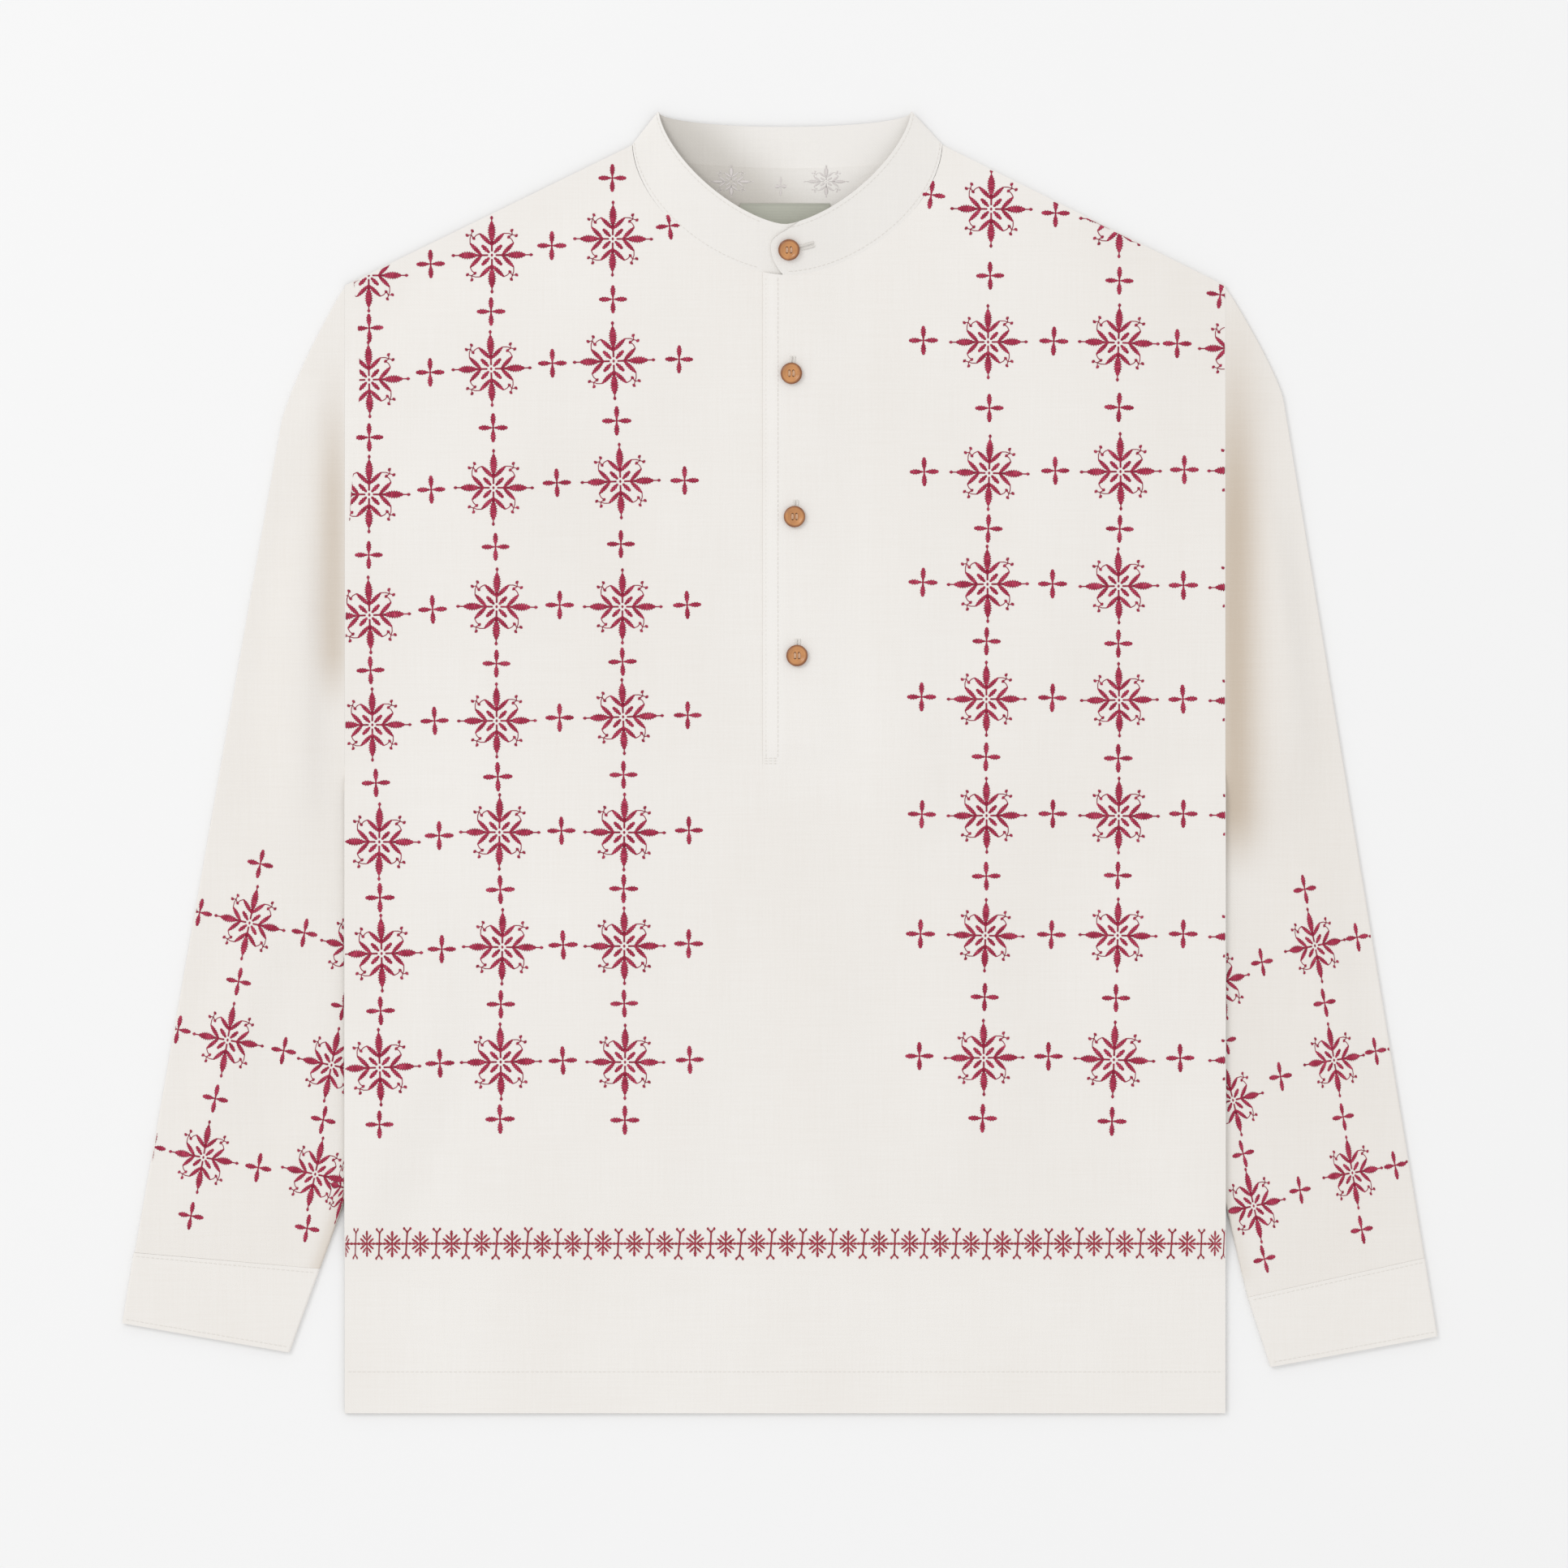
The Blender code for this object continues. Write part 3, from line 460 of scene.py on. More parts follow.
class ShirtButtonSettings(bpy.types.PropertyGroup):
    """Buttons and sewing thread."""
    horn: colour_setting("Horn", "Main colour of the buttons", (0.610, 0.275, 0.090))
    # Also the colour of the painted shade in the holes and of the darker rim
    horn_dark: colour_setting("Horn dark", "Darker streaks of the buttons", (0.230, 0.070, 0.014))
    tan_thread: colour_setting("Button thread", "Colour of the strands in the buttons",
                               (0.660, 0.420, 0.270))
    sewing: colour_setting("Sewing thread", "Colour of the seam stitches", (0.820, 0.790, 0.745))
    radius: length_setting("Radius", "Radius of a button", 6.5 * MM, 2 * MM, 20 * MM)
    stitch: length_setting("Stitch length", "Length of one seam stitch with its space",
                           2.9 * MM, 1 * MM, 8 * MM)


class ShirtStageSettings(bpy.types.PropertyGroup):
    """Floor, light and camera."""
    floor: colour_setting("Floor", "Colour of the floor", (0.882, 0.882, 0.882))
    sky: bpy.props.FloatProperty(
        name="Sky", description="Strength of the even light from all sides", default=0.915, min=0, max=5)
    key: bpy.props.FloatProperty(
        name="Key light", description="Power of the large soft light", unit="POWER", default=68.0,
        min=0, max=500)
    view_width: length_setting("View width", "Width of what the camera sees at the cloth",
                               946.7 * MM, 0.2, 5)
    camera_height: length_setting("Camera height", "Height of the camera over the cloth", 4.0, 1, 20)


# Shader helpers

class Value:
    """A shader socket that joins in Python sums; each operation adds one Math node."""

    def __init__(self, kit, socket):
        self.kit, self.socket = kit, socket

    def math(self, operation, *inputs):
        """A Math node on the inputs, or on this value alone."""
        node = self.kit.node("ShaderNodeMath", {"operation": operation}, dict(enumerate(inputs or [self])))
        return Value(self.kit, node.outputs[0])

    def __add__(self, other):
        return self.math("ADD", self, other)

    __radd__ = __add__

    def __mul__(self, other):
        return self.math("MULTIPLY", self, other)

    __rmul__ = __mul__

    def __sub__(self, other):
        return self.math("SUBTRACT", self, other)

    def __rsub__(self, other):
        return self.math("SUBTRACT", other, self)

    def held(self, low, high):
        """The value kept between two limits."""
        return self.math("MINIMUM", self.math("MAXIMUM", self, low), high)

    def wave(self):
        """A sine wave between 0 and 1."""
        return (self.math("SINE") + 1.0) * 0.5


class Finish:
    """A material being built: its nodes, its Principled shader and short ways to add to them."""

    def __init__(self, name):
        self.material = bpy.data.materials.new(name)
        self.material.use_nodes = True
        self.tree = self.material.node_tree
        self.shader = self.tree.nodes["Principled BSDF"]

    def node(self, kind, settings=None, inputs=None):
        """Add one node: settings first, then a value or link for each named or numbered socket."""
        node = self.tree.nodes.new(kind)
        for key, value in (settings or {}).items():
            setattr(node, key, value)
        for key, value in (inputs or {}).items():
            self.feed(node.inputs[key], value)
        return node

    def feed(self, socket, value):
        """Link a socket or set its value."""
        if isinstance(value, Value):
            self.tree.links.new(value.socket, socket)
        elif isinstance(value, bpy.types.NodeSocket):
            self.tree.links.new(value, socket)
        else:
            socket.default_value = value

    def set(self, **values):
        """Feed sockets of the shader; underscores stand for spaces."""
        for key, value in values.items():
            self.feed(self.shader.inputs[key.replace("_", " ")], value)

    def mix(self, factor, first, second):
        """Mix two colours, given as sockets or as three numbers; the factor is held from 0 to 1."""
        first, second = ((*part, 1.0) if not isinstance(part, bpy.types.NodeSocket) else part
                         for part in (first, second))
        node = self.node("ShaderNodeMix", {"data_type": "RGBA"}, {0: factor, 6: first, 7: second})
        return node.outputs[2]

    def noise(self, scale, detail=3.0, roughness=0.5, turn=0.0, stretch=(1, 1, 1)):
        """Noise between 0 and 1 on turned and stretched Object coordinates."""
        node = self.node("ShaderNodeTexNoise", None, {
            "Vector": self.place(turn, stretch), "Scale": scale, "Detail": detail, "Roughness": roughness})
        return Value(self, node.outputs[0])

    def place(self, turn=0.0, stretch=(1, 1, 1)):
        """Object coordinates, turned about z and stretched."""
        source = self.node("ShaderNodeTexCoord").outputs["Object"]
        node = self.node("ShaderNodeMapping", None,
                         {"Vector": source, "Rotation": (0, 0, turn), "Scale": stretch})
        return node.outputs[0]

    def parts(self, turn=0.0):
        """The three numbers of the turned Object coordinates."""
        node = self.node("ShaderNodeSeparateXYZ", None, {0: self.place(turn)})
        return [Value(self, socket) for socket in node.outputs]

    def tone(self, name="tone"):
        """A number stored on the mesh's points."""
        node = self.node("ShaderNodeAttribute", {"attribute_name": name})
        return Value(self, node.outputs["Fac"])

    def bump(self, height, strength, distance):
        """A normal from a height."""
        node = self.node("ShaderNodeBump", None,
                         {"Strength": strength, "Distance": distance, "Height": height})
        return node.outputs[0]


def darker(colour, share):
    """A colour at a share of its strength."""
    return [share * part for part in colour]


def linen_finish(name, look, turn=0.0, shade_colour=None):
    """Plain linen: yarns over and under, thicker slubs along both ways, patches of tone, painted shade and
    light.
    """
    finish = Finish(name)
    across, along, _ = finish.parts(turn)
    yarn = math.tau / (2 * look.yarn)
    over = (across * yarn).math("SINE") * (along * yarn).math("SINE")
    warp = finish.noise(1.0, 2.0, turn=turn, stretch=(900, 26, 1))
    weft = finish.noise(1.0, 2.0, turn=turn, stretch=(26, 900, 1))
    patches = finish.noise(1.0, turn=turn, stretch=(9, 5, 5))
    slubs = warp * 0.5 + weft * 0.5
    # Towards the shade colour: random patches and slubs, and the painted shade and painted light kept as the
    # points' tone
    shade = (patches - 0.5) * 0.22 + (slubs - 0.5) * 0.22 + finish.tone() + 0.08
    crumple = finish.noise(1.0, turn=turn, stretch=(26, 20, 20))
    height = over * 0.18 + slubs * 1.1 + crumple * 5.0
    finish.set(Base_Color=finish.mix(shade, look.linen, shade_colour or look.linen_shade),
               Roughness=slubs * 0.2 + 0.76, Normal=finish.bump(height, 0.42, 0.22 * MM),
               Sheen_Weight=0.12, Sheen_Roughness=0.5, Specular_IOR_Level=0.25)
    return finish.material


def satin_finish(name, main, dark, light):
    """Silky thread with painted shade between the stitches and a painted highlight on their crests, uneven
    from place to place.
    """
    finish = Finish(name)
    crest, uneven = finish.tone("crest"), finish.noise(330.0, 2.0)
    # Painted shade between the stitches, then a painted highlight on their crests
    body = finish.mix(crest * (uneven * 1.9 + 0.05), dark, main)
    painted_highlight = ((crest - 0.75) * 0.9 + (uneven - 0.48) * 2.0).held(0.0, 0.7)
    finish.set(Base_Color=finish.mix(painted_highlight, body, light), Roughness=uneven * 0.25 + 0.45,
               Specular_IOR_Level=0.18)
    return finish.material


def thread_finish(name, colour):
    """Matt sewing thread with a fine twist."""
    finish = Finish(name)
    twist = finish.noise(1.0, 1.0, stretch=(2400, 2400, 2400))
    finish.set(Base_Color=finish.mix(twist, darker(colour, 0.86), colour), Roughness=twist * 0.2 + 0.6)
    return finish.material


def horn_finish(name, look):
    """Polished horn: streaks bent by noise, a darker rim, painted shade in the holes and a fine clouding."""
    finish = Finish(name)
    across, _, _ = finish.parts(0.5)
    cloud = finish.noise(150.0, 4.0, 0.6)
    streak = (across * 520.0 + cloud * 7.0).wave()
    amount = streak * 0.30 + cloud * 0.40 + finish.tone("rim_and_hole_shade") * 0.85 - 0.16
    finish.set(Base_Color=finish.mix(amount, look.horn, look.horn_dark), Roughness=cloud * 0.2 + 0.22,
               Coat_Weight=0.35, Coat_Roughness=0.15)
    return finish.material


def label_finish(name, colour):
    """Woven satin label with fine ribs across and a darker edge."""
    finish = Finish(name)
    _, along, _ = finish.parts()
    ribs = (along * (math.tau / (0.7 * MM))).wave()
    amount = finish.noise(60.0) * 0.6 + ribs * 0.25 + finish.tone("edge") * 3.0
    finish.set(Base_Color=finish.mix(amount, colour, darker(colour, 0.84)),
               Roughness=ribs * 0.15 + 0.45, Normal=finish.bump(ribs, 0.4, 0.08 * MM))
    return finish.material


def floor_finish(name, colour):
    """Pale matt paper with a very faint tooth."""
    finish = Finish(name)
    finish.set(Base_Color=finish.mix(finish.noise(40.0, 2.0), colour, darker(colour, 0.995)),
               Roughness=0.95, Specular_IOR_Level=0.1)
    return finish.material


# Mesh helpers

CRISP_ANGLE = math.radians(40.0)


def place_object(name, data):
    """A new object in the scene."""
    item = bpy.data.objects.new(name, data)
    bpy.context.scene.collection.objects.link(item)
    return item


def add_piece(name, mesh_data, material, attributes=None, crisp=False):
    """Put points and faces into a mesh object at the origin and make it ride.

    Its faces are smooth; on a crisp piece the edges where two faces meet at an angle stay sharp.
    """
    points, faces = mesh_data
    mesh = bpy.data.meshes.new(name)
    blocks = faces if isinstance(faces, list) else [faces]
    mesh.from_pydata(points.tolist(), [], [face for block in blocks for face in block.tolist()])
    mesh.update()
    mesh.shade_smooth()
    if crisp:
        mesh.set_sharp_from_angle(angle=CRISP_ANGLE)
    mesh.materials.append(material)
    for key, values in (attributes or {}).items():
        layer = mesh.attributes.new(key, "FLOAT", "POINT")
        layer.data.foreach_set("value", np.asarray(values, dtype=np.float32))
    piece = place_object(name, mesh)
    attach(piece, "root")
    return piece


def add_cloth(name, node, mesh_data, material, tone, attribute="tone"):
    """Add a crisp piece of cloth that stands for a node, with a tone on its points.

    The tone is a list of numbers or a function of x and y.
    """
    values = tone(*mesh_data[0][:, :2].T) if callable(tone) else tone
    piece = add_piece(name, mesh_data, material, {attribute: values}, crisp=True)
    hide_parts(node)
    return piece


def grid_faces(ids):
    """Quads of a grid of point numbers, rows down and columns to the right, seen from above."""
    corners = [ids[:-1, :-1], ids[1:, :-1], ids[1:, 1:], ids[:-1, 1:]]
    return np.stack([part.ravel() for part in corners], axis=1)


def thick_sheet(upper, lower, faces):
    """Both sides of a sheet and a strip along each free edge, as one closed mesh."""
    count = len(upper)
    edges = np.stack([faces, np.roll(faces, -1, axis=1)], axis=2).reshape(-1, 2).astype(np.int64)
    forward, backward = edges[:, 0] * count + edges[:, 1], edges[:, 1] * count + edges[:, 0]
    free = edges[~np.isin(forward, backward)]
    rims = np.column_stack([free[:, 1], free[:, 0], free[:, 0] + count, free[:, 1] + count])
    return np.vstack([upper, lower]), np.vstack([faces, faces[:, ::-1] + count, rims])


def flat_sheet(x, y, under, wall):
    """Closed sheet on a grid of plan points, from its underside's height and its wall."""
    lower = np.dstack([x, y, under]).reshape(-1, 3)
    return thick_sheet(lower + (0, 0, wall), lower, grid_faces(np.arange(x.size).reshape(x.shape)))


def plan_area(x, y):
    """Area of a grid in plan, from the diagonals of its faces."""
    ax, ay = x[1:, 1:] - x[:-1, :-1], y[1:, 1:] - y[:-1, :-1]
    bx, by = x[:-1, 1:] - x[1:, :-1], y[:-1, 1:] - y[1:, :-1]
    return float(abs(ax * by - ay * bx).sum() / 2)


def surface_area(points):
    """Area of a grid of points in space, from the diagonals of its faces."""
    first, second = points[1:, 1:] - points[:-1, :-1], points[:-1, 1:] - points[1:, :-1]
    return float(np.linalg.norm(np.cross(first, second), axis=-1).sum() / 2)


def body_rows(step):
    """Fractions from top to hem, with one row at the end of the slit."""
    neck_y = float(neckline(np.array(0.0))[1])
    slit = (neck_y - SLIT_END_Y) / (neck_y - HEM_Y)
    above = max(4, round((neck_y - SLIT_END_Y) / step))
    below = max(4, round((SLIT_END_Y - HEM_Y) / step))
    shares = np.concatenate([np.linspace(0.0, slit, above + 1), np.linspace(slit, 1.0, below + 1)[1:]])
    return shares, above


def shoulder_points(side_x, neck_angle, step):
    """Points of a shoulder line from the side to just short of the neck."""
    neck_x, neck_y = neckline(np.array(neck_angle))
    count = max(4, round(abs(neck_x - side_x) / step))
    share = np.arange(count) / count
    return side_x + (neck_x - side_x) * share, SHOULDER_Y + (neck_y - SHOULDER_Y) * share


def panel_grid(top_x, top_y, foot_x, shares):
    """Grid of plan points between a top edge and the hem."""
    share = shares[:, None]
    return top_x + (foot_x - top_x) * share, top_y + (HEM_Y - top_y) * share


def body_tone_and_painted_light(x, y):
    """Where the front's linen looks lighter (below 0) or darker (above 0), with painted shade on the right
    side and painted light on the left.
    """
    x, y = x / MM, y / MM
    total = PAINTED_LIGHT_BELL["amount"] * np.exp(-((x - PAINTED_LIGHT_BELL["middle"]) / PAINTED_LIGHT_BELL["width"]) ** 2)
    for row in BODY_TONES:
        limits = [rise(x, *limit) for limit in row["across"]] + [rise(y, *limit) for limit in row["along"]]
        total = total + row["amount"] * math.prod(limits)
    return total


def neck_tone(x, y):
    """Shade inside the neck, deepest beside the collar's left front edge."""
    (x0, y0), (x1, y1) = NECK_SHADE_LINE
    away = ((x - x0) * (y0 - y1) + (y - y0) * (x1 - x0)) / math.hypot(x1 - x0, y1 - y0)
    return NECK_SHADE * np.exp(-(np.maximum(away, 0) / NECK_SHADE_REACH) ** 2)


def sleeve_tone(sleeve, x, y):
    """Shade on a sleeve beside the body's side and along its inner edge above the cuff."""
    shade = sleeve["shade"]
    out = sleeve["side"] * (x - sleeve["body_x"]) / MM
    inside = sleeve["side"] * (x - sleeve_inner_x(sleeve, y)) / MM
    y = y / MM
    valley = np.exp(-((out - shade["out"]) / shade["width"]) ** 2)
    valley = valley * rise(y, *shade["top"]) * rise(y, *shade["foot"])
    edge = np.exp(-(inside / EDGE_SHADE_WIDTH) ** 2)
    edge = edge * rise(y, *EDGE_SHADE_TOP) * rise(y, *EDGE_SHADE_FOOT)
    return shade["plain"] + shade["depth"] * valley + shade["edge"] * edge


# Cloth

def make_front(look):
    """Front panel: side and neck columns run down to the hem, and the slit parts its two sides."""
    shares, slit_row = body_rows(look.body_step)
    sides = []
    for side_x, tip, edge_x in ((BODY_LEFT, math.pi / 2, SLIT_X - CLOTH_SPACE / 2),
                                (BODY_RIGHT, -math.pi / 2, SLIT_X + CLOTH_SPACE / 2)):
        shoulder_x, shoulder_height = shoulder_points(side_x, tip, look.body_step)
        neck_x, neck_y = neckline(np.linspace(tip, neck_angle_at(SLIT_X), NECK_COLUMNS))
        neck_x[-1] = edge_x
        top_x, top_y = np.concatenate([shoulder_x, neck_x]), np.concatenate([shoulder_height, neck_y])
        foot_x = top_x.copy()
        foot_x[len(shoulder_x):] = np.linspace(neck_x[0], edge_x, NECK_COLUMNS)
        sides.append(panel_grid(top_x, top_y, foot_x, shares))
    (left_x, left_y), (right_x, right_y) = sides
    right_x, right_y = right_x[:, ::-1], right_y[:, ::-1]
    left = np.dstack([left_x, left_y, front_height(left_x, left_y)])
    right = np.dstack([right_x, right_y, front_height(right_x, right_y) + lap(right_x, right_y)])
    left_ids = np.arange(left_x.size).reshape(left_x.shape)
    right_ids = left_ids.size + np.arange(right_x.size).reshape(right_x.shape)
    right_ids[slit_row:, 0] = left_ids[slit_row:, -1]
    faces = np.vstack([grid_faces(left_ids), grid_faces(right_ids)])
    used, faces = np.unique(faces, return_inverse=True)
    upper = np.vstack([left.reshape(-1, 3), right.reshape(-1, 3)])[used] + (0, 0, WALL)
    mesh_data = thick_sheet(upper, upper - (0, 0, CLOTH), faces.reshape(-1, 4))
    piece = add_cloth("front_cloth", "front", mesh_data, linen_finish("linen_front", look), body_tone_and_painted_light)
    return piece, plan_area(left_x, left_y) + plan_area(right_x, right_y)


def make_back(look):
    """Back panel, flat where it rests and raised over the sleeves at its sides."""
    step = look.body_step * BACK_STEP_SHARE
    shares, _ = body_rows(step)
    left_x, left_y = shoulder_points(BODY_LEFT, math.pi / 2, step)
    right_x, right_y = shoulder_points(BODY_RIGHT, -math.pi / 2, step)
    neck_x, neck_y = neckline(np.linspace(math.pi / 2, 3 * math.pi / 2, NECK_BACK_COLUMNS))
    top_x = np.concatenate([left_x, neck_x, right_x[::-1]])
    top_y = np.concatenate([left_y, neck_y, right_y[::-1]])
    foot_x = top_x.copy()
    foot_x[len(left_x):-len(right_x)] = np.linspace(neck_x[0], neck_x[-1], NECK_BACK_COLUMNS)
    x, y = panel_grid(top_x, top_y, foot_x, shares)
    linen = linen_finish("linen_back", look, shade_colour=look.neck_shade)
    mesh_data = flat_sheet(x, y, tuck_lift(x, y) + (WALL - CLOTH), CLOTH)
    return add_cloth("back_cloth", "back", mesh_data, linen, neck_tone), plan_area(x, y)


# Degrees round a tube's flattened edge at which its points stand
EDGE_TURNS = (0.0, 30.0, 60.0, 84.0)


def flat_ring(start, stop, inset, radius, across, relief):
    """One ring of a flattened tube, from the outer edge over the top and back below.

    Each edge is a half round of the radius, and the cloth is level between the two.
    """
    length = np.linalg.norm(stop - start)
    direction = (stop - start) / length
    turn = np.radians(EDGE_TURNS)
    edge, lift = inset + radius * (1 - np.cos(turn)), radius * np.sin(turn)
    middle = np.linspace(inset + radius, length - inset - radius, across)
    upper = np.concatenate([edge, middle, length - edge[:0:-1]])
    lift = np.concatenate([lift, np.full(across, radius), lift[:0:-1]])
    distances = np.concatenate([upper, [length - inset], upper[:0:-1]])
    level = np.concatenate([lift, [0.0], -lift[:0:-1]])
    spots = start + distances[:, None] * direction
    ridge = np.where(level > 0, relief(spots[:, 0], spots[:, 1]), 0.0)
    return np.column_stack([spots, MIDDLE + level + ridge])


def flattened_tube(outer_edge, inner_edge, across, relief, mirrored):
    """A cloth tube pressed flat: an outer and an inner skin of rings, joined at both ends."""
    def rings(inset, radius):
        return np.stack([flat_ring(a, b, inset, radius, across, relief)
                         for a, b in zip(outer_edge, inner_edge)])
    outer, inner = rings(0.0, MIDDLE), rings(CLOTH, MIDDLE - CLOTH)
    if mirrored:
        outer, inner = outer[:, ::-1], inner[:, ::-1]
    count, around = outer.shape[:2]
    ids = np.arange(count * around).reshape(count, around)
    ids = np.concatenate([ids, ids[:, :1]], axis=1)
    outside = grid_faces(ids)
    shift = count * around
    head, foot = ids[0], ids[-1]
    first = np.column_stack([head[:-1], head[1:], head[1:] + shift, head[:-1] + shift])
    last = np.column_stack([foot[1:], foot[:-1], foot[:-1] + shift, foot[1:] + shift])
    points = np.vstack([outer.reshape(-1, 3), inner.reshape(-1, 3)])
    return points, np.vstack([outside, outside[:, ::-1] + shift, first, last])


def sleeve_sections(sleeve, count):
    """Ends of every section line, from the armhole along the body's side to the cuff seam."""
    share = np.linspace(0.0, 1.0, count)
    top_y = SHOULDER_Y - SLEEVE_HEAD_DROP
    outer_y = top_y + (sleeve["seam_outer"][1] - top_y) * share
    inner_y = UNDERARM_Y + (sleeve["seam_inner"][1] - UNDERARM_Y) * share ** SLEEVE_SPREAD_POWER
    outer_x = sleeve_outer_x(sleeve, outer_y)
    inner_x = sleeve_inner_x(sleeve, inner_y)
    outer_x[0] = sleeve["body_x"] + sleeve["side"] * CLOTH_SPACE
    return np.column_stack([outer_x, outer_y]), np.column_stack([inner_x, inner_y])


def tube_area(outer_edge, inner_edge):
    """Area of both layers of a flattened tube."""
    x = np.stack([outer_edge[:, 0], inner_edge[:, 0]], axis=1)
    y = np.stack([outer_edge[:, 1], inner_edge[:, 1]], axis=1)
    return 2 * plan_area(x, y)


def add_tube(kind, key, look, edges, across, relief, tone):
    """A flattened tube of linen whose yarns turn with the sleeve."""
    sleeve = SLEEVES[key]
    node = "%s_%s" % (kind, key)
    linen = linen_finish("linen_" + node, look, -math.atan(sleeve["slope"]) * sleeve["side"])
    mesh_data = flattened_tube(*edges, across, relief, sleeve["side"] > 0)
    return add_cloth(node + "_cloth", node, mesh_data, linen, tone)


def make_sleeve(key, look):
    """Sleeve from the armhole to the cuff seam."""
    sleeve = SLEEVES[key]
    edges = sleeve_sections(sleeve, SLEEVE_GRID[0])
    piece = add_tube("sleeve", key, look, edges, SLEEVE_GRID[1],
                     lambda x, y: sleeve_relief(sleeve, x, y), lambda x, y: sleeve_tone(sleeve, x, y))
    return piece, tube_area(*edges)


def cuff_edges(sleeve, count):
    """Outer and inner edge of a cuff, from just below the seam to its end."""
    side = np.array([sleeve["side"], 1.0])
    share = np.linspace(0.0, 1.0, count)[:, None]
    edges = []
    for name in ("outer", "inner"):
        start, stop = np.array(sleeve["seam_" + name]) * side, np.array(sleeve["end_" + name]) * side
        start = start + (stop - start) * CLOTH_SPACE / np.linalg.norm(stop - start)
        edges.append(start + (stop - start) * share)
    return edges


def make_cuff(key, look):
    """Cuff band, slightly fuller than the sleeve because it is two cloths thick."""
    return add_tube("cuff", key, look, cuff_edges(SLEEVES[key], CUFF_GRID[0]), CUFF_GRID[1],
                    lambda x, y: np.full(x.shape, CUFF_FULL), lambda x, y: np.zeros(x.shape))


def band_middle(angle, up):
    """Mid surface of the collar: angle round the neck, up from 0 at the seam to 1 at the edge."""
    foot_x, foot_y = neck_curve(angle)
    edge_x, edge_y = band_curve(angle)
    depth = np.cos(angle)
    turn = 1.0 - (1.0 - np.clip(abs(depth) / BAND_FOLD_DEPTH, 0, 1)) ** 2
    front_share = 0.5 + 0.5 * np.sign(depth) * turn
    opening = BAND_FOLD_OPENING * np.exp(-(depth / BAND_OPENING_DEPTH) ** 2)
    lapped = np.where(angle > math.pi, lap(foot_x, foot_y), 0.0)
    stand = BAND_FRONT_STAND * up * (BAND_SIDE_STAND + (1.0 - BAND_SIDE_STAND) * abs(depth))
    front_z = front_height(foot_x, foot_y) + WALL / 2 + lapped + opening + stand
    back_z = WALL / 2 + BAND_BACK_STAND * up ** 2
    x = foot_x + (edge_x - foot_x) * up
    y = foot_y + (edge_y - foot_y) * up
    return np.stack([x, y, back_z + (front_z - back_z) * front_share], axis=-1)


def band_surface(angle, up, offset):
    """The collar's mid surface moved along its normal."""
    step = BAND_SLOPE_STEP
    along = band_middle(angle + step, up) - band_middle(angle - step, up)
    upwards = band_middle(angle, up + step) - band_middle(angle, up - step)
    normal = np.cross(upwards, along)
    normal /= np.linalg.norm(normal, axis=-1, keepdims=True)
    return band_middle(angle, up) + offset * normal


def collar_angle(x, up):
    """Angle at which the collar's lapped end passes x."""
    centre = NECK_CENTRE + (BAND_CENTRE - NECK_CENTRE) * up
    half = NECK_HALF + (BAND_HALF - NECK_HALF) * up
    return 2 * math.pi + np.arcsin((centre - x) / half)


def band_grid():
    """Angle and height of every collar point.

    The angles are closer together at both tips, and the last stretch ends on the rounded outline.
    """
    near = np.radians(np.concatenate([np.linspace(-24, -6, 8)[:-1], np.linspace(-6, 6, 17),
                                      np.linspace(6, 24, 8)[1:]]))
    whole = np.concatenate([
        np.linspace(neck_angle_at(BAND_UNDER_END_X), math.radians(64), 26), math.pi / 2 + near,
        np.linspace(math.radians(116), math.radians(244), 41), 3 * math.pi / 2 + near,
        np.linspace(math.radians(296), BAND_LAPPED_FROM, 14)])
    up = np.linspace(0.0, 1.0, BAND_ROWS + 1)
    end_x = BAND_OVER_END_X + BAND_END_TOP_CUT * np.clip(2 * up - 1, 0, 1) ** BAND_END_TOP_POWER
    end_x = end_x + BAND_END_FOOT_CUT * np.clip(1 - 2 * up, 0, 1) ** BAND_END_FOOT_POWER
    share = np.linspace(0.0, 1.0, 21)[1:]
    lapped = BAND_LAPPED_FROM + (collar_angle(end_x, up)[:, None] - BAND_LAPPED_FROM) * share
    angle = np.concatenate([np.repeat(whole[None, :], len(up), axis=0), lapped], axis=1)
    return angle, np.repeat(up[:, None], angle.shape[1], axis=1)


def make_collar(look):
    """Band collar: one strip round the neck with its right end over its left."""
    angle, up = band_grid()
    upper = band_surface(angle, up, WALL / 2)
    lower = band_surface(angle, up, WALL / 2 - CLOTH)
    ids = np.arange(angle.size).reshape(angle.shape)
    mesh_data = thick_sheet(upper.reshape(-1, 3), lower.reshape(-1, 3), grid_faces(ids))
    # Inside the collar's back: the neck's painted shadow, lightened by painted light
    shade = neck_tone(upper[..., 0], upper[..., 1]) + BAND_INSIDE_PAINTED_LIGHT
    inside = np.where(np.cos(angle) < BAND_INSIDE_DEPTH, shade, 0.0)
    linen = linen_finish("linen_collar", look, shade_colour=look.neck_shade)
    piece = add_cloth("collar_cloth", "collar", mesh_data, linen, np.tile(inside.ravel(), 2))
    return piece, surface_area(upper)


